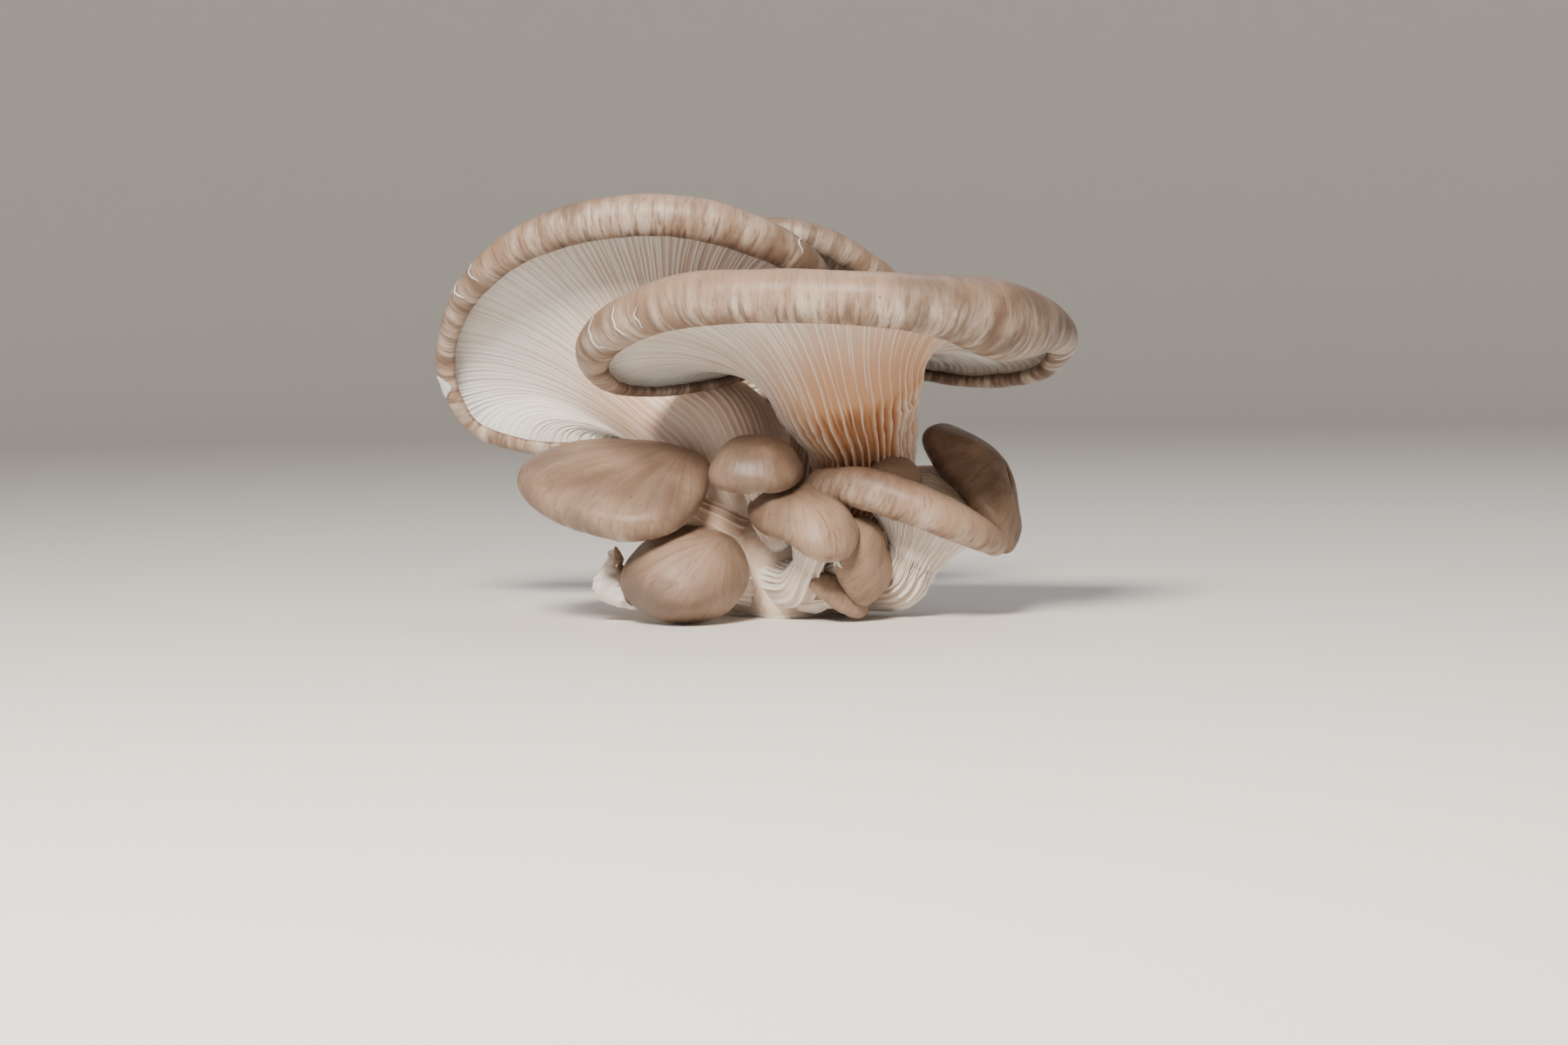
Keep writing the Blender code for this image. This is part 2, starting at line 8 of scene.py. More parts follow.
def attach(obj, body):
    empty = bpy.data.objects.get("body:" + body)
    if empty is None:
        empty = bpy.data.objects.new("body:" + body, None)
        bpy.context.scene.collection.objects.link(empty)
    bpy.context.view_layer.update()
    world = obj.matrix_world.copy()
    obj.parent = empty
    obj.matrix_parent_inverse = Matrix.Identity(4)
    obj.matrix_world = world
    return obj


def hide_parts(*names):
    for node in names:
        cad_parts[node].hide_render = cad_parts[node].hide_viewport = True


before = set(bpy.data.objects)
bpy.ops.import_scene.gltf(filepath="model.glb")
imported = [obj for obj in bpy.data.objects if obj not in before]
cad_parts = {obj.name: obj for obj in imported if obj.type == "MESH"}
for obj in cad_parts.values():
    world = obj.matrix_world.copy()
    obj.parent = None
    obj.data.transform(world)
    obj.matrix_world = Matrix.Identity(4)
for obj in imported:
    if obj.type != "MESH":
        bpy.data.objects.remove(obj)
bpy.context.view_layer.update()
print("frame loaded:", len(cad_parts), "nodes")

mm = 0.001

# camera
camera = {
    "lens": 85,  # gives the flat perspective of a close tabletop shot
    "sensor": 36,
    "place": (0, -0.807, 0.070),
    "lookDown": 3.509,  # degrees
    "roll": -0.9,
}


def makeCamera(spec):
    data = bpy.data.cameras.new("camera")
    data.lens = spec["lens"]
    data.sensor_width = spec["sensor"]
    data.clip_start = 0.01
    obj = bpy.data.objects.new("camera", data)
    bpy.context.scene.collection.objects.link(obj)
    tilt = Matrix.Rotation(math.radians(90 - spec["lookDown"]), 4, "X")
    roll = Matrix.Rotation(math.radians(spec["roll"]), 4, "Z")
    obj.matrix_world = Matrix.Translation(spec["place"]) @ tilt @ roll
    bpy.context.scene.camera = obj


makeCamera(camera)

# the mushrooms' shapes, in millimetres
# edge: points down the middle of the rolled edge, with the roll's radius. stem: its axis, with its radius.
# roll: where the rolled edge starts and ends, in degrees above outward. swell and flare: how full the skin
# and the underside curve between the middle and the edge. lip: the cap's thickness at the edge.
# mains: how many long gills there are. grooves: depths at the edge, half way, at the stem and at its foot.
# warmth: how peach the flesh is at the stem, with a painted glow of light through the blades, strongest in
# the grooves. coarse: from where to where, in x, the gills grow to full depth.
# sway: how much more than usual the gills wander. fibres: the point that the skin's fibres run out from.
front = {
    "name": "front",
    "edge": [
        (29, 18, 54, 3.2),
        (12, 18, 56, 3.2),
        (-4, 14, 55, 3.0),
        (-17, 9, 52, 2.6),
        (-29, 2, 51, 2.6),
        (-37, -8, 53, 3.2),
        (-39.5, -22, 59, 4.4),
        (-33, -37, 65, 5.0),
        (-20, -49, 69, 5.4),
        (-2, -57, 70, 5.5),
        (18, -59, 69, 5.6),
        (34, -54, 67, 6.4),
        (46, -41, 64, 8.2),
        (56, -23, 62.6, 5.4),
        (60, -5, 59.5, 4.0),
        (56, 6, 54, 3.6),
        (44, 13, 52, 3.2),
    ],
    "crown": (15, -10, 66),
    "stem": [(15, -4, 46.5, 16.4), (16.9, -1.5, 38, 12.8), (16.8, 0, 29, 10.8), (13, 3, 20, 9.5)],
    "roll": (80, -118),
    "lip": 2.5,
    "swell": (0.42, 0.30),
    "flare": (0.34, 0.36),
    "mains": 40,
    "grooves": (0.6, 1.5, 3.4, 1.8),
    "warmth": 0.85,
    "coarse": (-8, 10),
    "seed": 3,
    "detail": 3,
}
left = {
    "name": "left",
    "edge": [
        (-14, 33, 42, 2.4),
        (-30, 35, 38, 2.4),
        (-45, 35, 36.5, 2.4),
        (-59, 37, 37.5, 2.4),
        (-70.5, 42, 42, 2.4),
        (-75.5, 38, 53, 2.7),
        (-74, 30, 64, 3.0),
        (-67, 19, 74.5, 3.6),
        (-55.5, 9, 82.5, 4.3),
        (-40.5, 3, 87, 4.8),
        (-24, 0, 87.5, 5.0),
        (-8.5, 2, 84, 4.8),
        (4, 8, 78, 4.2),
        (9, 16, 70, 3.2),
        (7, 24, 60, 2.8),
        (-2, 30, 50, 2.6),
    ],
    "crown": (-31, 37, 62),
    "stem": [(-19.7, 23.4, 43, 12.6), (-12, 15.8, 36.4, 13.4), (-8, 9, 26, 10.5), (-5, 5, 18, 8.0)],
    "roll": (80, -110),
    "lip": 2.2,
    "swell": (0.40, 0.34),
    "flare": (0.32, 0.40),
    "mains": 40,
    "grooves": (0.5, 0.65, 0.3, 0.12),
    "warmth": 0.85,
    "sway": 1.4,
    "seed": 11,
    "detail": 3,
}
back = {
    "name": "back",
    "edge": [
        (9, 54, 34, 2.6),
        (-2, 54, 39, 2.6),
        (-12, 51, 48, 2.6),
        (-18, 45, 60, 2.8),
        (-17, 36, 73, 3.0),
        (-10, 29, 81, 3.0),
        (-2, 22, 84.5, 3.2),
        (8, 22, 82.5, 3.4),
        (17, 26, 78, 3.4),
        (25, 31, 71, 3.4),
        (29, 37, 61, 3.2),
        (27, 44, 50, 3.0),
        (20, 50, 40, 2.8),
    ],
    "crown": (7, 54, 60),
    "stem": [(9, 36, 46, 8.5), (8, 28, 36, 8.0), (6, 20, 27, 7.5), (5, 14, 18, 7.0)],
    "roll": (80, -110),
    "lip": 2.2,
    "swell": (0.42, 0.36),
    "flare": (0.34, 0.40),
    "mains": 28,
    "grooves": (0.8, 1.2, 1.5, 0.8),
    "warmth": 0.2,
    "seed": 23,
    "detail": 2,
}
shelf = {
    "name": "shelf",
    "edge": [
        (-18.6, -8, 31.0, 2.6),
        (-19.5, 1, 33.6, 2.6),
        (-27, 9, 35, 2.6),
        (-39, 12, 35.5, 2.6),
        (-50, 9, 34.5, 2.8),
        (-54.6, 1, 31, 3.2),
        (-51, -11, 27.5, 3.6),
        (-43, -19, 24.2, 4.0),
        (-33, -23, 22.2, 4.0),
        (-25, -21, 23.2, 3.6),
        (-20.6, -15, 26.6, 3.0),
    ],
    "crown": (-36, -5, 37.4),
    "stem": [(-25.5, -5.5, 24.5, 6.0), (-17, -2, 19, 7.0), (-8, 1, 15, 7.0)],
    "roll": (70, -115),
    "lip": 2.2,
    "swell": (0.44, 0.38),
    "flare": (0.34, 0.36),
    "mains": 22,
    "grooves": (0.7, 0.9, 0.8, 0.5),
    "warmth": 0.45,
    "fibres": (-20, -2, 37),
    "seed": 31,
    "detail": 2,
}
button = {
    "name": "button",
    "edge": [
        (-6.5, -9.5, 34.5, 2.8),
        (-11.5, -12, 33.8, 2.8),
        (-13, -17.5, 32.4, 3.0),
        (-11, -22.5, 31.6, 3.2),
        (-5.5, -24.5, 31.4, 3.2),
        (-0.5, -22.5, 31.6, 3.2),
        (1.2, -17, 32.6, 3.0),
        (-1, -11.5, 34, 2.8),
    ],
    "crown": (-6, -16.5, 40.2),
    "stem": [(-5.5, -15.5, 27.5, 2.8), (-4, -12, 23, 3.6), (-1, -6, 18, 4.2)],
    "roll": (48, -92),
    "lip": 1.7,
    "swell": (0.5, 0.42),
    "flare": (0.3, 0.36),
    "mains": 12,
    "grooves": (0.5, 0.7, 0.8, 0.5),
    "warmth": 0.3,
    "fibres": (-5, -12, 40),
    "seed": 41,
    "detail": 1,
}
middle = {
    "name": "middle",
    "edge": [
        (3.5, -11.5, 26.5, 3.2),
        (-2, -11.5, 26.3, 3.2),
        (-4.6, -15, 24.5, 3.2),
        (-3, -22, 22.2, 3.2),
        (2.2, -26.5, 20.6, 3.2),
        (7, -29.5, 17.6, 3.4),
        (11.4, -27.5, 17.2, 3.4),
        (12.4, -21, 20.5, 3.2),
        (9.6, -15, 24.5, 3.2),
    ],
    "crown": (4, -19.8, 28.8),
    "stem": [(5.2, -18.4, 13, 3.7), (3, -12.5, 8, 5.0), (-1, -5, 8, 6.0)],
    "roll": (50, -74),
    "lip": 1.8,
    "swell": (0.54, 0.46),
    "flare": (0.3, 0.34),
    "mains": 16,
    "grooves": (0.6, 0.9, 1.1, 0.8),
    "warmth": 0.08,
    "fibres": (0, -14, 30),
    "seed": 53,
    "detail": 1,
}
fold = {
    "name": "fold",
    "edge": [
        (18.8, -11, 7, 2.2),
        (16.8, -18.5, 5.6, 2.0),
        (13.6, -22, 10.2, 2.4),
        (13.0, -22, 15.4, 2.6),
        (15.2, -17, 19.6, 2.8),
        (17.8, -11, 18.6, 2.6),
        (19, -8, 13, 2.4),
    ],
    "crown": (21.5, -17.5, 13.4),
    "stem": [(11.0, -13.6, 11.0, 3.0), (7, -10, 9.5, 4.4), (2, -4, 8, 5.4)],
    "roll": (50, -82),
    "lip": 1.5,
    "swell": (0.46, 0.42),
    "flare": (0.32, 0.3),
    "mains": 12,
    "grooves": (0.6, 0.8, 0.9, 0.6),
    "warmth": 0.1,
    "fibres": (19, -14, 22),
    "seed": 61,
    "detail": 1,
}
bud = {
    "name": "bud",
    "edge": [
        (14.6, -10.4, 5.4, 1.4),
        (9.4, -12, 8.6, 1.4),
        (6.2, -17.5, 8.6, 1.5),
        (10, -19.5, 5.4, 1.6),
        (14.4, -18, 2.6, 1.6),
        (16.4, -13.5, 2.6, 1.5),
    ],
    "crown": (13.6, -17.6, 8.2),
    "stem": [(8.8, -13.2, 4.2, 1.8), (6, -10, 3.9, 3.0), (2, -4, 5, 4.0)],
    "roll": (55, -84),
    "lip": 1.3,
    "swell": (0.44, 0.4),
    "flare": (0.34, 0.3),
    "mains": 10,
    "grooves": (0.4, 0.6, 0.7, 0.5),
    "warmth": 0.05,
    "fibres": (9, -13, 10),
    "seed": 71,
    "detail": 1,
}
right = {
    "name": "right",
    "edge": [
        (39.5, 1, 21, 2.6),
        (30, 2, 25, 2.6),
        (20, -3, 28, 2.8),
        (10, -10, 29.5, 3.4),
        (9, -15, 29, 4.0),
        (15, -20, 29.2, 4.4),
        (22, -22.5, 27.4, 4.5),
        (29, -24, 24.5, 4.4),
        (35.5, -23.5, 21.5, 4.2),
        (41.3, -20, 18.6, 3.6),
        (45, -14, 16.3, 2.8),
        (45, -5, 17.3, 2.6),
    ],
    "crown": (26.5, -9, 29.5),
    "stem": [(28, -9, 13, 6.6), (24.5, -7, 7.8, 6.6), (14, -1, 7.2, 6.2)],
    "roll": (86, -112),
    "lip": 2.0,
    "swell": (0.42, 0.36),
    "flare": (0.25, 0.15),
    "mains": 28,
    "grooves": (0.8, 1.5, 1.8, 1.0),
    "warmth": 0.08,
    "fibres": (19, -4, 30),
    "sway": 2.2,
    "seed": 83,
    "detail": 2,
}
peep = {
    "name": "peep",
    "edge": [
        (22, -3.5, 31, 2.2),
        (19.6, -7, 31, 2.2),
        (20.4, -11.5, 30.6, 2.2),
        (25, -12, 29.8, 2.2),
        (27.8, -8, 29.6, 2.2),
        (26, -4.5, 30.3, 2.2),
    ],
    "crown": (23.4, -7.8, 35.3),
    "stem": [(22.6, -6.2, 28.8, 1.6), (19.5, -3.5, 27, 2.4), (15, 0, 25, 3.0)],
    "roll": (48, -70),
    "lip": 1.4,
    "swell": (0.5, 0.42),
    "flare": (0.3, 0.34),
    "mains": 10,
    "grooves": (0.4, 0.5, 0.6, 0.4),
    "warmth": 0.2,
    "seed": 89,
    "detail": 1,
}
ear = {
    "name": "ear",
    "edge": [
        (48.4, 11, 26, 2.2),
        (44, 15, 34, 2.2),
        (37, 14, 39, 2.2),
        (32.8, 8.6, 38.0, 2.2),
        (35.9, 4.4, 32.4, 2.5),
        (40.2, 0.8, 27.8, 2.7),
        (44, -1.8, 23.2, 2.8),
        (46.5, -3, 20, 2.6),
        (48.4, -1, 15, 2.2),
        (50, 5.4, 19, 2.2),
    ],
    "crown": (48.4, 3.4, 33),
    "stem": [(36.6, 8.2, 26.2, 3.2), (31.4, 8.6, 28.4, 4.2), (26, 8.6, 24, 5.0), (19, 8, 14, 5.6)],
    "roll": (76, -34),
    "lip": 1.7,
    "swell": (0.36, 0.36),
    "flare": (0.32, 0.32),
    "mains": 16,
    "grooves": (0.6, 0.9, 1.1, 0.7),
    "warmth": 0.2,
    "fibres": (55, 14, 36),
    "seed": 97,
    "detail": 1,
}
low = {
    "name": "low",
    "edge": [
        (-20.5, -11.5, 18, 2.8),
        (-28.6, -13, 15.4, 2.8),
        (-32.4, -15, 9.5, 2.8),
        (-28.6, -16, 4.8, 3.0),
        (-21.5, -17, 3.1, 3.1),
        (-14, -16, 4.8, 3.0),
        (-10.6, -14, 10.4, 3.0),
        (-13, -12, 16, 2.8),
    ],
    "crown": (-21.5, -27.6, 9.8),
    "stem": [(-20.2, -11.5, 10.2, 4.0), (-15, -6.5, 9.4, 5.6), (-7, 0, 8, 6.4)],
    "roll": (48, -82),
    "lip": 1.7,
    "swell": (0.5, 0.42),
    "flare": (0.3, 0.3),
    "mains": 16,
    "grooves": (0.6, 0.8, 1.0, 0.7),
    "warmth": 0.2,
    "fibres": (-12, -20, 20),
    "seed": 101,
    "detail": 1,
}
mushrooms = [front, left, back, shelf, button, middle, fold, bud, right, peep, ear, low]

# columns round the cap, rows over the skin and round the roll; then rows under the cap and down the stem
details = {
    3: {"around": 420, "skin": 44, "roll": 28, "under": 38, "stem": 24},
    2: {"around": 280, "skin": 34, "roll": 22, "under": 30, "stem": 20},
    1: {"around": 200, "skin": 28, "roll": 18, "under": 22, "stem": 16},
}
capShare = 0.45  # of the flesh at the edge that is the cap's
evenTurn = 0.35  # how evenly the gills are dealt round the stem
ringAt = 0.28  # where they meet it, from the crown outward
stemLumps = 0.06  # how uneven a stem is, as a share of its radius
columnsPerGill = 4
gillsPerMain = 8


# small tools
def unit(v):
    return v / np.maximum(np.linalg.norm(v, axis=-1, keepdims=True), 1e-9)


def catmullRom(a, b, c, d, t):
    return 0.5 * (2 * b + (c - a) * t + (2 * a - 5 * b + 4 * c - d) * t**2 + (3 * b - a - 3 * c + d) * t**3)


def resampled(points, wanted):
    along = np.concatenate([[0], np.cumsum(np.linalg.norm(np.diff(points[:, :3], axis=0), axis=1))])
    places = np.asarray(wanted) * along[-1]
    return np.stack([np.interp(places, along, points[:, k]) for k in range(points.shape[1])], axis=1)


def closedCurve(points, count):
    p = np.asarray(points, float)
    t = np.linspace(0, 1, 120, endpoint=False)[:, None]
    n = len(p)
    fine = [catmullRom(p[k - 1], p[k], p[(k + 1) % n], p[(k + 2) % n], t) for k in range(n)]
    return resampled(np.concatenate([*fine, p[:1]]), np.linspace(0, 1, count, endpoint=False))


def openCurve(points, count):
    p = np.asarray(points, float)
    p = np.vstack([2 * p[0] - p[1], p, 2 * p[-1] - p[-2]])
    t = np.linspace(0, 1, 120, endpoint=False)[:, None]
    fine = [catmullRom(p[k], p[k + 1], p[k + 2], p[k + 3], t) for k in range(len(p) - 3)]
    return resampled(np.concatenate([*fine, p[-2:-1]]), np.linspace(0, 1, count))


def bezier(a, b, c, d, t):
    return a * (1 - t) ** 3 + 3 * b * t * (1 - t) ** 2 + 3 * c * t**2 * (1 - t) + d * t**3


def smoothStep(low, high, x):
    t = np.clip((x - low) / (high - low), 0, 1)
    return t * t * (3 - 2 * t)


def ringNoise(turn, across, cells, seed):
    # smooth noise from -1 to 1 that closes on itself once round; turn is 0 to 1, across is in cells
    values = np.random.RandomState(seed).uniform(-1, 1, (cells, 64))
    x, y = turn * cells, across + 7
    ix, iy = np.floor(x).astype(int), np.floor(y).astype(int)
    fx, fy = x - ix, y - iy
    fx, fy = fx * fx * (3 - 2 * fx), fy * fy * (3 - 2 * fy)
    a, b = values[ix % cells, iy % 64], values[(ix + 1) % cells, iy % 64]
    c, d = values[ix % cells, (iy + 1) % 64], values[(ix + 1) % cells, (iy + 1) % 64]
    return (a * (1 - fx) + b * fx) * (1 - fy) + (c * (1 - fx) + d * fx) * fy


def gridNormals(grid):
    return unit(np.cross(np.gradient(grid, axis=0), np.roll(grid, -1, axis=1) - np.roll(grid, 1, axis=1)))


# materials
def linear(hexColour):
    parts = [int(hexColour[k : k + 2], 16) / 255 for k in (0, 2, 4)]
    return (*[c / 12.92 if c <= 0.04045 else ((c + 0.055) / 1.055) ** 2.4 for c in parts], 1)


def addNode(tree, kind, inputs=None, **settings):
    node = tree.nodes.new("ShaderNode" + kind)
    for key, value in settings.items():
        setattr(node, key, value)
    for key, value in (inputs or {}).items():
        if isinstance(value, bpy.types.NodeSocket):
            tree.links.new(value, node.inputs[key])
        else:
            node.inputs[key].default_value = value
    return node


def newMaterial(name):
    made = bpy.data.materials.new(name)
    made.use_nodes = True
    return made, made.node_tree, made.node_tree.nodes["Principled BSDF"]


def calc(tree, operation, a, b=0.0):
    return addNode(tree, "Math", {0: a, 1: b}, operation=operation).outputs[0]


def ranged(tree, value, low, high, toLow=0.0, toHigh=1.0, how="SMOOTHSTEP"):
    inputs = {"Value": value, "From Min": low, "From Max": high, "To Min": toLow, "To Max": toHigh}
    return addNode(tree, "MapRange", inputs, interpolation_type=how).outputs[0]


def mixed(tree, factor, a, b):
    return addNode(tree, "Mix", {0: factor, 6: a, 7: b}, data_type="RGBA").outputs[2]


def noise(tree, vector, scale, detail=2.0, roughness=0.5):
    inputs = {"Vector": vector, "Scale": scale, "Detail": detail, "Roughness": roughness}
    return addNode(tree, "TexNoise", inputs).outputs[0]


def stretched(tree, place, perMmAround, perMmInward, detail, roughness):
    # place is in millimetres: two coordinates round the edge on a circle, and the way in from the lip
    scale = (perMmAround, perMmAround, perMmInward)
    drawn = addNode(tree, "VectorMath", {0: place, 1: scale}, operation="MULTIPLY").outputs[0]
    return noise(tree, drawn, 1, detail, roughness)


def softFlesh(shader, weight, depth, colours):
    # light that enters the flesh comes out a little further on, reddest furthest
    shader.inputs["Subsurface Weight"].default_value = weight
    shader.inputs["Subsurface Radius"].default_value = colours
    shader.inputs["Subsurface Scale"].default_value = depth * mm


capSkin = {
    "pale": "C3B3A3",
    "tan": "907763",
    "brown": "634F41",
    "dark": "3E2F27",
    "speck": "4A3226",
    "roughness": 0.44,
    "ior": 1.4,
}


def makeCapSkin(spec):
    # damp satin skin: taupe fibres that grow outward, pale clouds with a painted highlight on the bend of the
    # roll, and dark at the lip, partly painted shade
    made, tree, shader = newMaterial("damp oyster cap skin")
    place = addNode(tree, "Attribute", attribute_name="place").outputs["Vector"]
    where = addNode(tree, "TexCoord").outputs["Object"]
    broad = stretched(tree, place, 0.26, 0.07, 3, 0.6)  # 4 mm wide clouds along the fibres
    streak = stretched(tree, place, 0.75, 0.11, 4, 0.62)  # streaks a millimetre and a half wide
    fibre = stretched(tree, place, 2.6, 0.26, 3, 0.65)
    hair = stretched(tree, place, 7.0, 0.5, 2, 0.6)
    blotch = noise(tree, where, 85, 4, 0.6)  # 12 mm blotches
    patch = noise(tree, where, 24, 2, 0.5)
    body = mixed(tree, ranged(tree, patch, 0.38, 0.62), linear(spec["brown"]), linear(spec["tan"]))
    body = mixed(tree, ranged(tree, blotch, 0.4, 0.7, 0, 0.8), body, linear(spec["tan"]))
    # lip and bend: where painted shade and a painted highlight go on the skin
    lipShadeAndHighlight = addNode(tree, "Attribute", attribute_name="lipShadeAndHighlight").outputs["Vector"]
    lipShadeAndHighlight = addNode(tree, "SeparateXYZ", {0: lipShadeAndHighlight})
    lip, bend = lipShadeAndHighlight.outputs[0], lipShadeAndHighlight.outputs[1]
    # painted highlight: the bend of the roll, where it bulges toward the light, is paler in broad clouds
    # along the fibres
    paleCloudsAndHighlight = calc(tree, "MULTIPLY", ranged(tree, broad, 0.34, 0.7), ranged(tree, bend, 0, 1, 0.12, 0.85))
    body = mixed(tree, paleCloudsAndHighlight, body, linear(spec["pale"]))
    streaks = calc(tree, "MULTIPLY", ranged(tree, streak, 0.48, 0.64), ranged(tree, bend, 0, 1, 0.25, 0.75))
    body = mixed(tree, streaks, body, linear(spec["brown"]))
    fine = calc(tree, "MULTIPLY", ranged(tree, fibre, 0.5, 0.7), ranged(tree, blotch, 0.35, 0.6, 0.25, 0.6))
    body = mixed(tree, fine, body, linear(spec["brown"]))
    body = mixed(tree, ranged(tree, hair, 0.58, 0.74, 0, 0.2), body, linear(spec["dark"]))
    uneven = calc(tree, "ADD", streak, calc(tree, "MULTIPLY", fibre, 0.6))
    # dark lip: the skin's darker margin, deepened by painted shade where the roll turns under
    lipShade = calc(tree, "ADD", lip, calc(tree, "MULTIPLY", calc(tree, "SUBTRACT", uneven, 0.8), 0.9))
    body = mixed(tree, ranged(tree, lipShade, 0.15, 1.0, 0, 0.85), body, linear(spec["dark"]))
    # specks half a millimetre wide
    cells = addNode(tree, "TexVoronoi", {"Vector": where, "Scale": 650})
    picked = addNode(tree, "SeparateColor", {0: cells.outputs["Color"]}).outputs[0]
    near = ranged(tree, cells.outputs["Distance"], 0.2, 0.12)
    speck = calc(tree, "MULTIPLY", near, ranged(tree, picked, 0.92, 0.95, 0, 0.55))
    body = mixed(tree, speck, body, linear(spec["speck"]))
    tree.links.new(body, shader.inputs["Base Color"])
    gloss = ranged(tree, blotch, 0.3, 0.7, spec["roughness"] - 0.06, spec["roughness"] + 0.1)
    tree.links.new(gloss, shader.inputs["Roughness"])
    shader.inputs["IOR"].default_value = spec["ior"]
    softFlesh(shader, 0.1, 1.8, (1.0, 0.6, 0.42))
    grain = noise(tree, where, 2400, 2, 0.6)
    height = calc(tree, "ADD", calc(tree, "MULTIPLY", fibre, 0.5), calc(tree, "MULTIPLY", hair, 0.3))
    height = calc(tree, "ADD", height, calc(tree, "MULTIPLY", grain, 0.12))
    bump = addNode(tree, "Bump", {"Height": height, "Strength": 0.6, "Distance": 0.00028})
    tree.links.new(bump.outputs[0], shader.inputs["Normal"])
    return made


gillFlesh = {
    "edge": "E9E5E0",
    "side": "D9CEC3",
    "groove_shade": "AE9786",
    "warm": "C48F5F",
    "roughness": 0.55,
    "ior": 1.38,
}


def makeGillFlesh(spec):
    # gills and stem: moist white flesh that glows where light comes through the thin blades, with painted
    # shade between them
    made, tree, shader = newMaterial("moist white gill flesh")
    place = addNode(tree, "Attribute", attribute_name="place").outputs["Vector"]
    where = addNode(tree, "TexCoord").outputs["Object"]
    groove = addNode(tree, "Attribute", attribute_name="groove").outputs["Vector"]
    parts = addNode(tree, "SeparateXYZ", {0: groove})
    depth, warmth = parts.outputs[0], parts.outputs[1]
    patch = noise(tree, where, 60, 3, 0.55)
    body = mixed(tree, ranged(tree, patch, 0.35, 0.7, 0, 0.6), linear(spec["edge"]), linear(spec["side"]))
    # painted shade: darker between the gills, the deeper the groove
    body = mixed(tree, ranged(tree, depth, 0.2, 1, 0, 0.45), body, linear(spec["groove_shade"]))
    # peach flesh with a painted glow of light through the blades, strongest in the grooves
    tinted = calc(tree, "MULTIPLY", warmth, ranged(tree, depth, 0.05, 0.75, 0.4, 1.0))
    body = mixed(tree, tinted, body, linear(spec["warm"]))
    tree.links.new(body, shader.inputs["Base Color"])
    shader.inputs["Roughness"].default_value = spec["roughness"]
    shader.inputs["IOR"].default_value = spec["ior"]
    softFlesh(shader, 0.35, 3, (1.0, 0.62, 0.4))
    fibre = stretched(tree, place, 5.0, 0.5, 3, 0.6)
    grain = noise(tree, where, 1900, 2, 0.6)
    height = calc(tree, "ADD", calc(tree, "MULTIPLY", fibre, 0.6), calc(tree, "MULTIPLY", grain, 0.25))
    bump = addNode(tree, "Bump", {"Height": height, "Strength": 0.35, "Distance": 0.0002})
    tree.links.new(bump.outputs[0], shader.inputs["Normal"])
    return made


buttFlesh = {"white": "DCCBBB", "stain": "A98A72", "cut": "EFE8DE", "roughness": 0.75, "ior": 1.38}


def makeButtFlesh(spec):
    # the fused foot: felted flesh with stains in its hollows, paler and smoother where it was cut
    made, tree, shader = newMaterial("felted butt flesh")
    where = addNode(tree, "TexCoord").outputs["Object"]
    upward = addNode(tree, "SeparateXYZ", {0: where}).outputs[2]
    stain = noise(tree, where, 110, 4, 0.6)
    felt = noise(tree, where, 900, 4, 0.7)
    body = mixed(tree, ranged(tree, stain, 0.4, 0.7, 0, 0.8), linear(spec["white"]), linear(spec["stain"]))
    body = mixed(tree, ranged(tree, upward, 0.0012, 0.0002), body, linear(spec["cut"]))
    tree.links.new(body, shader.inputs["Base Color"])
    shader.inputs["Roughness"].default_value = spec["roughness"]
    shader.inputs["IOR"].default_value = spec["ior"]
    softFlesh(shader, 0.25, 3, (1.0, 0.7, 0.5))
    bump = addNode(tree, "Bump", {"Height": felt, "Strength": 0.7, "Distance": 0.0006})
    tree.links.new(bump.outputs[0], shader.inputs["Normal"])
    return made


skinMaterial = makeCapSkin(capSkin)
gillMaterial = makeGillFlesh(gillFlesh)
buttMaterial = makeButtFlesh(buttFlesh)
print("materials made")


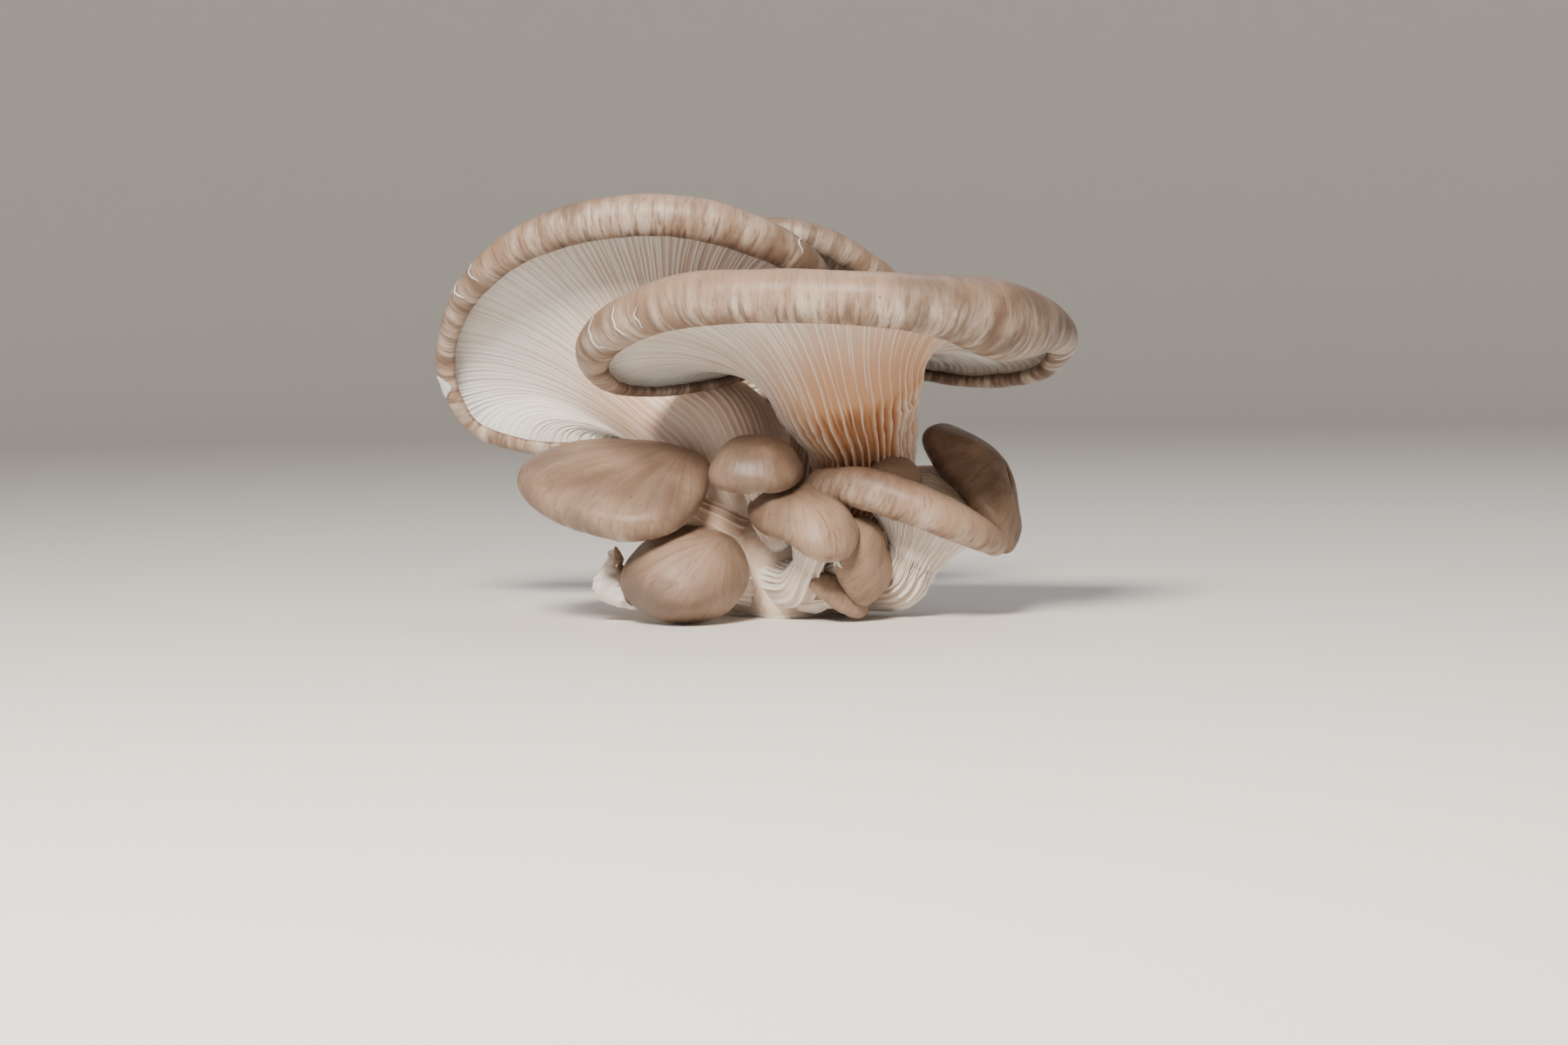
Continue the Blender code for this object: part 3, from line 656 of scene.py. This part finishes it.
# surfaces
class Surfaces:
    # rings of points from the crown out over the skin, round the roll, and back under to the stem's foot
    def __init__(self, spec, columns, rows):
        self.spec = spec
        self.columns = columns
        self.crown = np.array(spec["crown"], float)
        stem = openCurve(spec["stem"], rows["stem"] + 1)
        self.top, self.foot = stem[0, :3], stem[-1, :3]
        edge = closedCurve(spec["edge"], columns)
        around = edge[:, :3] - edge[:, :3].mean(0)
        self.up = unit(np.cross(around, np.roll(around, -1, axis=0)).sum(0))
        if self.up @ (self.crown - self.top) < 0:
            self.up = -self.up
            edge = np.vstack([edge[:1], edge[:0:-1]])
        self.turn = np.arange(columns) / columns
        self.length = np.linalg.norm(np.roll(around, -1, axis=0) - around, axis=1).sum()
        seed = spec["seed"]
        wave = 0.5 * ringNoise(self.turn, 0.0, 14, seed) + 0.3 * ringNoise(self.turn, 0.0, 34, seed + 1)
        self.roll = edge[:, 3:4] * (1 + 0.07 * wave[:, None])
        self.edge = edge[:, :3]
        along = unit(np.roll(self.edge, -1, axis=0) - np.roll(self.edge, 1, axis=0))
        self.skinward = unit(unit(np.cross(self.edge - self.crown, along)) + self.up)
        self.outward = unit(np.cross(along, self.skinward))
        self.skinward = unit(np.cross(self.outward, along))
        swing = 0.22 * ringNoise(self.turn, 0.5, 9, seed + 2)
        self.edge = self.edge + (self.outward + self.skinward) * swing[:, None]
        self.makeStem(stem)
        self.makeRest(rows)

    def makeStem(self, stem):
        down = unit(np.gradient(stem[:, :3], axis=0))
        side = unit(np.cross(down[0], self.up if abs(down[0] @ self.up) < 0.9 else self.outward[0]))
        sides = []
        for way in down:
            side = unit(side - way * (side @ way))
            sides.append(side)
        sides = np.array(sides)
        others = np.cross(down, sides)
        reach = self.edge - self.top
        turn = np.unwrap(np.arctan2(reach @ others[0], reach @ sides[0]))
        wayRound = np.sign(turn[-1] - turn[0])
        even = turn.mean() + wayRound * 2 * math.pi * (self.turn - 0.5)
        turn = (1 - evenTurn) * turn + evenTurn * even
        spokes = np.cos(turn)[None, :, None] * sides[:, None] + np.sin(turn)[None, :, None] * others[:, None]
        across = np.linspace(0, 4, len(stem))[:, None]
        lumps = stemLumps * ringNoise(self.turn[None, :], across, 7, self.spec["seed"] + 3)
        lumps[0] = 0
        self.stem = stem[:, None, :3] + spokes * stem[:, None, 3:4] * (1 + lumps[..., None])
        self.down = down[0]

    def onRoll(self, radius, angle):
        return self.edge + radius * (math.cos(angle) * self.outward + math.sin(angle) * self.skinward)

    def outside(self, angle, lift):
        # the skin at an angle round the roll, in radians, and on past its start toward the crown
        if angle <= self.start:
            return self.onRoll(self.roll + lift, angle)
        share = 1 - (angle - self.start) * self.roll / self.reach
        return self.skinAt(share) + self.skinward * lift

    def makeRest(self, rows):
        start, end = (math.radians(a) for a in self.spec["roll"])
        ahead = math.sin(start) * self.outward - math.cos(start) * self.skinward
        lip = np.minimum(self.spec["lip"], self.roll * 0.75)
        inner = self.roll - lip
        over, beneath = self.onRoll(self.roll, start), self.onRoll(inner, start)
        self.start, self.reach = start, np.linalg.norm(over - self.crown, axis=1, keepdims=True)
        fromCrown = unit(over - self.crown - self.up * ((over - self.crown) @ self.up)[:, None])
        near, far = self.spec["swell"]
        skinHandles = (self.crown + fromCrown * self.reach * near, over - ahead * self.reach * far)
        ring = self.stem[0]
        depth = np.linalg.norm(beneath - ring, axis=1, keepdims=True)
        near, far = self.spec["flare"]
        underHandles = (beneath - ahead * depth * near, ring - self.down * depth * far)
        self.skinAt = lambda t: bezier(self.crown, *skinHandles, over, t)

        def underAt(t):
            return bezier(beneath, *underHandles, ring, (1 - t) / (1 - ringAt))

        skin = [self.skinAt(t) for t in np.linspace(0, 1, rows["skin"] + 1)[1:]]
        skin += [self.onRoll(self.roll, a) for a in np.linspace(start, end, rows["roll"] + 1)[1:]]
        for turned in math.pi * np.array([0.25, 0.5, 0.75]):  # the rounded lip between outside and inside
            at = self.onRoll(self.roll - lip * (1 - math.cos(turned)) / 2, end)
            forward = math.sin(end) * self.outward - math.cos(end) * self.skinward
            skin.append(at + 0.45 * lip * math.sin(turned) * forward)
        self.skin = np.array(skin)
        self.lipInside = self.onRoll(inner, end)
        self.inside = [self.onRoll(self.roll - lip * capShare, a) for a in np.linspace(end, start, 8)]
        for t in np.linspace(1, ringAt, 6)[1:]:
            self.inside.append(self.skinAt(t) + (underAt(t) - self.skinAt(t)) * capShare)
        self.insidePole = self.crown + (self.top - self.crown) * capShare
        under, inward, room = [], [], []
        for a in np.linspace(end, start, 9):
            under.append(self.onRoll(inner, a))
            inward.append(self.onRoll(self.roll, a) - self.edge)
            room.append(lip * 0.8)
        for t in np.linspace(1, ringAt, rows["under"] + 1)[1:-1]:
            under.append(underAt(t))
            inward.append(self.skinAt(t) - under[-1])
            room.append(np.linalg.norm(inward[-1], axis=1, keepdims=True) * 0.8)
        self.ringRow = len(under)
        for layer in self.stem:
            under.append(layer)
            inward.append(layer.mean(0) - layer)
            room.append(np.linalg.norm(inward[-1], axis=1, keepdims=True) * 0.6)
        self.under = np.array(under)
        self.inward = unit(np.array(inward))
        self.room = np.array(room)[..., 0]

    def placeTable(self, grid, inward):
        # the fibres run outward from the crown, or from the place that the shape names
        turned = np.broadcast_to(2 * math.pi * self.turn, inward.shape)
        if "fibres" in self.spec:
            side = unit(np.cross(self.up, (0.31, 0.62, 0.72)))
            reach = grid - np.array(self.spec["fibres"], float)
            turned = np.arctan2(reach @ np.cross(self.up, side), reach @ side)
        radius = self.length / (2 * math.pi)
        shift = 5.0 * self.spec["seed"]
        return np.stack([radius * np.cos(turned) + shift, radius * np.sin(turned), inward], axis=-1)


gillKinds = [  # period and offset in shares of a main gill's room, where each kind fades, and its height
    (1.0, 0.0, 3.0, 1.0),
    (1.0, 0.5, 0.92, 0.95),
    (0.5, 0.25, 0.66, 0.85),
    (0.25, 0.125, 0.40, 0.7),
]
gillForm = {
    "width": 0.38,  # half a gill's thickness in millimetres
    "widthVaries": 0.10,
    "stemWidth": 0.24,  # what it gains at the stem
    "sway": (0.30, 0.18),  # millimetres, slow and quick
    "uneven": 0.17,  # how far from even spacing they stand
    "endVaries": 0.28,
    "height": (0.84, 0.16),  # the usual share of the full height, and how far from it a gill may be
    "ragged": 0.34,  # how deep the torn edges go
}


def grooved(shape, columnsPerMain):
    # sinks the flesh between the gills: long ones reach the stem, shorter ones stand between them at the edge
    spec, grid = shape.spec, shape.under
    rows, columns = grid.shape[:2]
    step = np.linalg.norm(np.roll(grid, -1, axis=1) - grid, axis=2)
    lengths = np.linalg.norm(np.diff(grid, axis=0), axis=2)
    travel = np.concatenate([np.zeros((1, columns)), np.cumsum(lengths, axis=0)])
    toRing = travel[shape.ringRow]
    share = np.where(travel < toRing, travel / toRing, 1 + (travel - toRing) / (travel[-1] - toRing))
    turn = np.broadcast_to(shape.turn, (rows, columns))
    seed = spec["seed"] * 10
    slow, quick = gillForm["sway"]
    drawn = 4096  # random numbers for the gills of a kind
    sway = slow * ringNoise(turn, travel / 9, 60, seed) + quick * ringNoise(turn, travel / 3.2, 150, seed + 1)
    sway = sway * spec.get("sway", 1.0) * (0.45 + 0.3 * smoothStep(0.6, 1.1, share))
    column = np.arange(columns)[None, :] + sway / np.maximum(step, 0.02)
    coarse = smoothStep(*spec["coarse"], grid[..., 0]) if "coarse" in spec else np.ones_like(share)
    ridge = np.zeros((rows, columns))
    for period, offset, ends, height in gillKinds:
        period, offset = period * columnsPerMain, offset * columnsPerMain
        place = (column - offset) / period
        number = np.round(place).astype(int)
        table = np.random.RandomState(seed + int(period * 3 + offset)).uniform(-1, 1, (3, drawn))
        pick = number % drawn
        away = np.abs(place - number + gillForm["uneven"] * table[0][pick]) * period * step
        width = gillForm["width"] + gillForm["widthVaries"] * table[1][pick]
        width = width + gillForm["stemWidth"] * smoothStep(0.7, 1.2, share)
        stops = ends * (1 + gillForm["endVaries"] * table[2][pick])
        usual, more = gillForm["height"]
        tall = height * (1 - smoothStep(stops - 0.12, stops + 0.05, share))
        tall = tall * (usual + more * table[1][::-1][pick])
        torn = np.abs(ringNoise(turn, travel / 1.6, 120, seed + 5))
        ragged = 1 - gillForm["ragged"] * torn * coarse * smoothStep(0.45, 0.8, share)
        ridge = np.maximum(ridge, np.clip(1 - away / width, 0, 1) ** 0.85 * tall * ragged)
    fromLip = smoothStep(0.2, 2.6, travel)
    depth = np.interp(share, (0, 0.5, 1, 2), spec["grooves"]) * (0.4 + 0.6 * coarse)
    depth = np.minimum(depth, shape.room) * fromLip * (1 - 0.9 * smoothStep(1.75, 2.0, share))
    sunk = depth * (1 - ridge)
    # peach flesh at the stem, with a painted glow of light through the blades
    warm = spec["warmth"] * smoothStep(0.35, 1.0, share) * (0.35 + 0.65 * coarse)
    shown = np.clip(depth / 0.7, 0.1, 1)  # shallow grooves get less painted shade and stay as pale as the gills
    # the first value is painted shade between the gills, the second the peach warmth
    tint = np.stack([(1 - ridge) * fromLip * shown, warm, np.zeros_like(warm)], axis=-1)
    return grid + shape.inward * sunk[..., None], tint, travel


def loftMesh(name, start, rings, end, tables):
    # a closed skin through rings, with a point at each end; tables hold a vector for each ring's points
    rings = np.asarray(rings)
    rows, columns = rings.shape[:2]
    points = np.vstack([start[None], rings.reshape(-1, 3), end[None]]) * mm
    c = np.arange(columns)
    n = (c + 1) % columns
    row = (np.arange(rows - 1) * columns)[:, None] + 1
    last = 1 + (rows - 1) * columns
    quads = np.stack([row + c, row + n, row + columns + n, row + columns + c], axis=-1).reshape(-1, 4)
    first = np.stack([0 * c, n + 1, c + 1], axis=1)
    final = np.stack([0 * c + last + columns, last + c, last + n], axis=1)
    corners = np.concatenate([quads.ravel(), first.ravel(), final.ravel()])
    sizes = np.concatenate([np.full(len(quads), 4), np.full(2 * columns, 3)])
    mesh = bpy.data.meshes.new(name)
    mesh.vertices.add(len(points))
    mesh.vertices.foreach_set("co", points.ravel().astype(np.float32))
    mesh.loops.add(len(corners))
    mesh.loops.foreach_set("vertex_index", corners.astype(np.int32))
    mesh.polygons.add(len(sizes))
    mesh.polygons.foreach_set("loop_start", np.concatenate([[0], np.cumsum(sizes)[:-1]]).astype(np.int32))
    mesh.polygons.foreach_set("loop_total", sizes.astype(np.int32))
    mesh.update(calc_edges=True)
    # a flat sheet for baked colours: across is once round the piece, up is along its rings
    u, v = c / columns, (np.arange(rows) + 1) / (rows + 1)
    low, high = np.meshgrid(v[:-1], u, indexing="ij"), np.meshgrid(v[1:], u + 1 / columns, indexing="ij")
    sheet = np.stack([low[1], low[0], high[1], low[0], high[1], high[0], low[1], high[0]], axis=-1)
    one, half = 1 / columns, 0.5 / columns
    firstSheet = np.stack([u + half, 0 * u, u + one, 0 * u + v[0], u, 0 * u + v[0]], axis=1)
    finalSheet = np.stack([u + half, 0 * u + 1, u, 0 * u + v[-1], u + one, 0 * u + v[-1]], axis=1)
    layer = mesh.uv_layers.new(name="OFBake")
    sheets = np.concatenate([sheet.ravel(), firstSheet.ravel(), finalSheet.ravel()])
    layer.uv.foreach_set("vector", sheets.astype(np.float32))
    for key, table in tables.items():
        table = np.vstack([table[0][:1], table.reshape(-1, 3), table[-1][:1]])
        data = mesh.attributes.new(key, "FLOAT_VECTOR", "POINT")
        data.data.foreach_set("vector", table.ravel().astype(np.float32))
    a, b, d = (points[quads[:, k]] for k in (0, 1, 2))
    e = points[quads[:, 3]]
    if (a * np.cross(b, d)).sum() + (a * np.cross(d, e)).sum() < 0:
        mesh.flip_normals()
    mesh.shade_smooth()
    return mesh


def addPiece(name, mesh, material, nodes=()):
    obj = bpy.data.objects.new(name, mesh)
    bpy.context.scene.collection.objects.link(obj)
    mesh.materials.append(material)
    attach(obj, "root")
    if nodes:
        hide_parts(*nodes)
    return obj


capRelief = {"wrinkles": 0.09, "creases": 0.045, "dents": 0.3}  # millimetres
lipReach = 0.36  # of the way round the roll, where the dark lip, partly painted shade, ends
bendReach = 0.45  # and where the painted highlight on the bend begins to fade


def makeCap(spec):
    rows = details[spec["detail"]]
    shape = Surfaces(spec, rows["around"], rows)
    skin = shape.skin
    normals = gridNormals(skin)
    if (normals[-8] * (skin[-8] - shape.edge)).sum() < 0:
        normals = -normals
    fromLip = np.cumsum(np.linalg.norm(np.diff(skin[::-1], axis=0), axis=2), axis=0)[::-1]
    fromLip = np.concatenate([fromLip, np.zeros((1, shape.columns))])
    turn = np.broadcast_to(shape.turn, fromLip.shape)
    nearEdge = 1 - smoothStep(8, 20, fromLip)
    seed = spec["seed"] * 7
    relief = capRelief["wrinkles"] * ringNoise(turn, fromLip / 14, int(shape.length / 2.6), seed) * nearEdge
    creases = ringNoise(turn, fromLip / 9, int(shape.length / 1.1), seed + 1)
    relief += capRelief["creases"] * creases * nearEdge
    fromCrown = np.minimum(1, np.linalg.norm(skin - shape.crown, axis=2) / 12)
    dents = ringNoise(turn, fromLip / 12, max(8, int(shape.length / 14)), seed + 2)
    dents = dents * smoothStep(0, 6, fromLip)
    relief += capRelief["dents"] * dents * smoothStep(0, 0.3, fromCrown)
    skin = skin + normals * relief[..., None]
    rings = np.concatenate([skin, [shape.lipInside], shape.inside])
    inward = np.concatenate([fromLip, np.zeros((len(rings) - len(fromLip), shape.columns))])
    name = "cap_" + spec["name"]
    bentOver = shape.roll[:, 0] * math.radians(spec["roll"][0] - spec["roll"][1])  # the roll's way round
    # lip: the dark lip, partly painted shade under the roll
    lip = 1 - smoothStep(0, lipReach * bentOver, inward)
    # bend: where the painted highlight lies on the roll
    bend = 1 - smoothStep(bendReach * bentOver, bentOver, inward)
    lipShadeAndHighlight = np.stack([lip, bend, 0 * lip], axis=-1)
    tables = {"place": shape.placeTable(rings, inward), "lipShadeAndHighlight": lipShadeAndHighlight}
    mesh = loftMesh(name, shape.crown, rings, shape.insidePole, tables)
    addPiece(name + "_skin", mesh, skinMaterial, [name])
    return shape


def makeGills(spec):
    perMain = columnsPerGill * gillsPerMain
    shape = Surfaces(spec, spec["mains"] * perMain, details[spec["detail"]])
    outer, tint, travel = grooved(shape, perMain)
    lining = np.array(shape.inside[::-1])[::2]
    rings = np.concatenate([lining, outer])
    tint = np.concatenate([np.zeros((len(lining), *tint.shape[1:])), tint])
    inward = np.concatenate([np.zeros(lining.shape[:2]), travel])
    name = "gills_" + spec["name"]
    tables = {"place": shape.placeTable(rings, inward), "groove": tint}
    mesh = loftMesh(name, shape.insidePole, rings, shape.foot, tables)
    addPiece(name + "_flesh", mesh, gillMaterial, [name])


capShapes = {}
for spec in mushrooms:
    capShapes[spec["name"]] = makeCap(spec)
    makeGills(spec)
    print("made", spec["name"])

# cracks in the rolled edges, where white flesh shows
# each has the nearest point of the edge, the angles round the roll between which it runs, how far it leans
# along the edge on the way, and its width
cracks = [
    {"cap": "front", "near": (-35.5, -33, 63.5), "angles": (34, -64), "lean": 1.0, "width": 0.42},
    {"cap": "front", "near": (-30.5, -40, 66.3), "angles": (22, -60), "lean": 0.9, "width": 0.36},
    {"cap": "front", "near": (-26, -44.5, 67.7), "angles": (-2, -52), "lean": 0.5, "width": 0.25},
    {"cap": "front", "near": (52.5, -30, 63), "angles": (112, -60), "lean": 3.6, "width": 0.5},
    {"cap": "front", "near": (50.5, -33, 63.4), "angles": (124, 86), "lean": 1.2, "width": 0.6},
    {"cap": "front", "near": (60, -4, 59.3), "angles": (-10, -100), "lean": 1.0, "width": 0.55},
    {"cap": "left", "near": (-65.5, 17.5, 76), "angles": (10, -66), "lean": 1.1, "width": 0.42},
    {"cap": "left", "near": (-69, 22, 72), "angles": (25, -68), "lean": 1.4, "width": 0.5},
    {"cap": "left", "near": (-70.5, 24.5, 69.5), "angles": (60, 20), "lean": 0.6, "width": 0.8},
    {"cap": "left", "near": (-75, 38.5, 51.5), "angles": (36, -88), "lean": 0.8, "width": 4.4},
    {"cap": "left", "near": (2, 7, 79.5), "angles": (30, -30), "lean": 0.8, "width": 0.35},
    {"cap": "fold", "near": (13.2, -22.2, 13.2), "angles": (20, -70), "lean": 0.8, "width": 1.0},
]
crackForm = {"height": 0.14, "lift": 0.04, "ragged": 0.35, "steps": 28, "columns": 10, "wander": 0.5}


def makeCrack(number, spec):
    shape = capShapes[spec["cap"]]
    start = np.argmin(np.linalg.norm(shape.edge - np.array(spec["near"], float), axis=1))
    perColumn = shape.length / shape.columns
    shares = np.linspace(0, 1, crackForm["steps"])
    wander = crackForm["wander"] * ringNoise(shares * 0.9, number * 1.7, 7, 200 + number)
    columns = start + (spec["lean"] * (4 * (shares - 0.5) ** 2 - 0.5) + wander) / perColumn
    path, raised = [], []
    for share, column in zip(shares, columns):
        angle = math.radians(spec["angles"][0] + (spec["angles"][1] - spec["angles"][0]) * share)
        whole, part = int(column), column - int(column)
        pair = [(whole + k) % shape.columns for k in (0, 1)]
        for lift, kept in ((0.0, path), (1.0, raised)):
            layer = shape.outside(angle, lift)
            kept.append(layer[pair[0]] * (1 - part) + layer[pair[1]] * part)
    path, raised = np.array(path), np.array(raised)
    out = unit(raised - path)
    side = unit(np.cross(unit(np.gradient(path, axis=0)), out))
    a = np.linspace(0, 2 * math.pi, crackForm["columns"], endpoint=False)[None, :, None]
    across = a[..., 0] / 2 + 3 * number
    ragged = 1 + crackForm["ragged"] * ringNoise(shares[:, None] * 0.9, across, 11, 300 + number)[..., None]
    wide = (spec["width"] / 2 * np.sin(math.pi * (0.04 + 0.92 * shares)) ** 0.7)[:, None, None]
    tall = crackForm["height"] * (0.4 + 0.6 * np.sin(math.pi * shares))[:, None, None]
    sideways = ragged * np.cos(a) * wide * side[:, None]
    upward = np.sin(a) * tall * out[:, None]
    rings = path[:, None] + (out * crackForm["lift"])[:, None] + sideways + upward
    blank = np.zeros_like(rings)
    mesh = loftMesh("crack", path[0], rings, path[-1], {"place": blank, "groove": blank})
    addPiece(f"crack_{number + 1}", mesh, gillMaterial)


for number, spec in enumerate(cracks):
    makeCrack(number, spec)
print("cracks made")

# the butt
butt = {
    "middle": (1.0, 6.0, 11.0),
    "half": (17.0, 15.0, 15.0),
    "lump": 1.5,
    "columns": 160,
    "rows": 90,
}


def makeButt(spec):
    lat = np.linspace(math.pi / 2, -math.pi / 2, spec["rows"] + 2)[1:-1, None]
    lon = np.linspace(0, 2 * math.pi, spec["columns"], endpoint=False)[None, :]
    x, y, z = np.cos(lat) * np.cos(lon), np.cos(lat) * np.sin(lon), np.sin(lat) + 0 * lon
    lump = spec["lump"] * (np.sin(5 * x + 2 * z) * np.cos(4 * y) + 0.5 * np.sin(9 * y + 6 * z))
    lump += 0.3 * ringNoise(lon / (2 * math.pi) + 0 * lat, 6 * z + 0 * lon, 24, 5)
    axes = zip(spec["middle"], (x, y, z), spec["half"])
    rings = np.stack([m + s * (h + lump) for m, s, h in axes], axis=-1)
    rings[..., 2] = np.maximum(rings[..., 2], 0)
    top = np.array(spec["middle"]) + (0, 0, spec["half"][2] - 0.5)
    base = np.array([spec["middle"][0], spec["middle"][1], 0.0])
    addPiece("butt_flesh", loftMesh("butt", top, rings, base, {}), buttMaterial, ["butt"])


makeButt(butt)

# the torn edge by the low cap, with a curl of skin on it
# each point has the half width and half thickness of the sheet there
flap = {
    "path": [
        (-24, -8, 8, 2.6, 1.6),
        (-32, -7.5, 4.6, 3.4, 1.5),
        (-37.3, -8, 6.4, 3.6, 1.3),
        (-38.4, -7.6, 11, 2.8, 1.1),
        (-36.6, -7, 15, 1.4, 0.8),
    ],
    "curl": [
        (-33.2, -11.2, 4.5, 1.0, 0.4),
        (-34.0, -11.6, 8.0, 1.5, 0.5),
        (-35.2, -10.6, 12.0, 1.3, 0.5),
        (-36.4, -8.6, 16.0, 0.5, 0.4),
    ],
    "columns": 72,
    "rows": 90,
    "ragged": 0.3,
}


def makeSheet(name, path, ragged, material):
    path = openCurve(path, flap["rows"])
    along = unit(np.gradient(path[:, :3], axis=0))
    across = unit(np.cross(along, (0.3, -0.4, -0.9)))
    through = np.cross(along, across)
    turns = np.linspace(0, 1, flap["columns"], endpoint=False)[None, :]
    down = np.linspace(0, 11, flap["rows"])[:, None]
    edges = 1 + ragged * (ringNoise(turns, down, 9, 77) + 0.5 * ringNoise(turns, down * 3, 20, 78))
    folds = ragged * 2.2 * ringNoise(turns, down * 1.4, 5, 79)
    a = 2 * math.pi * turns[..., None]
    wide = np.cos(a) * across[:, None] * path[:, None, 3:4] * edges[..., None]
    thick = (np.sin(a) * path[:, None, 4:5] + folds[..., None]) * through[:, None]
    rings = path[:, None, :3] + wide + thick
    blank = np.zeros_like(rings)
    ends = path[0, :3] - along[0], path[-1, :3] + along[-1] * 0.6
    mesh = loftMesh(name, ends[0], rings, ends[1], {"place": blank + (0, 0, 4), "groove": blank})
    addPiece(name, mesh, material)


makeSheet("torn_flap", flap["path"], flap["ragged"], gillMaterial)
makeSheet("torn_curl", flap["curl"], 0.12, skinMaterial)
print("butt and torn edge made")

# floor and light
stage = {
    "floor": "E2DFDA",
    "roughness": 0.6,
    "flat": 1.15,  # the table's radius before it sweeps up into a wall all round, in metres
    "sweep": 0.55,
    "height": 1.5,
    "sides": 96,
    "aim": (0, 0, 0.045),  # what the lights point at
    "key": {"place": (-0.15, -0.60, 0.54), "size": 0.22, "power": 15, "colour": "FFF4E8"},
    "top": {"place": (0.15, 0.34, 0.66), "size": 0.40, "power": 1.4, "colour": "F4F6FF"},
    "fill": {"place": (-0.72, -0.50, 0.12), "size": 0.5, "power": 0.9, "colour": "DCE8FF"},
    "sky": (0.86, 0.88, 0.92, 1),
    "world": 0.22,
}


def makeFloor(spec):
    sides = spec["sides"]
    turns = np.linspace(0, 2 * math.pi, sides, endpoint=False)
    profile = [(0.6, 0.0), (spec["flat"], 0.0)]
    for a in np.linspace(0, math.pi / 2, 16)[1:]:
        profile.append((spec["flat"] + spec["sweep"] * math.sin(a), spec["sweep"] * (1 - math.cos(a))))
    profile.append((spec["flat"] + spec["sweep"], spec["height"]))
    verts = [(0, 0, 0)] + [(r * math.cos(t), r * math.sin(t), z) for r, z in profile for t in turns]
    faces = [(0, 1 + k, 1 + (k + 1) % sides) for k in range(sides)]
    for row in range(len(profile) - 1):
        for k in range(sides):
            n, at = (k + 1) % sides, 1 + row * sides
            faces.append((at + k, at + sides + k, at + sides + n, at + n))
    mesh = bpy.data.meshes.new("floor")
    mesh.from_pydata(verts, [], faces)
    mesh.shade_smooth()
    obj = bpy.data.objects.new("floor", mesh)
    bpy.context.scene.collection.objects.link(obj)
    made, tree, shader = newMaterial("matt pale table")
    shader.inputs["Base Color"].default_value = linear(spec["floor"])
    shader.inputs["Roughness"].default_value = spec["roughness"]
    mesh.materials.append(made)


def makeLight(name, spec):
    data = bpy.data.lights.new(name, "AREA")
    data.size = spec["size"]
    data.energy = spec["power"]
    data.color = linear(spec["colour"])[:3]
    obj = bpy.data.objects.new(name, data)
    obj.location = spec["place"]
    aim = Vector(stage["aim"]) - obj.location
    obj.rotation_euler = aim.to_track_quat("-Z", "Y").to_euler()
    bpy.context.scene.collection.objects.link(obj)


makeFloor(stage)
for name in ("key", "top", "fill"):
    makeLight(name, stage[name])
world = bpy.data.worlds.new("pale studio")
world.use_nodes = True
world.node_tree.nodes["Background"].inputs[0].default_value = stage["sky"]
world.node_tree.nodes["Background"].inputs[1].default_value = stage["world"]
bpy.context.scene.world = world
print("stage made")
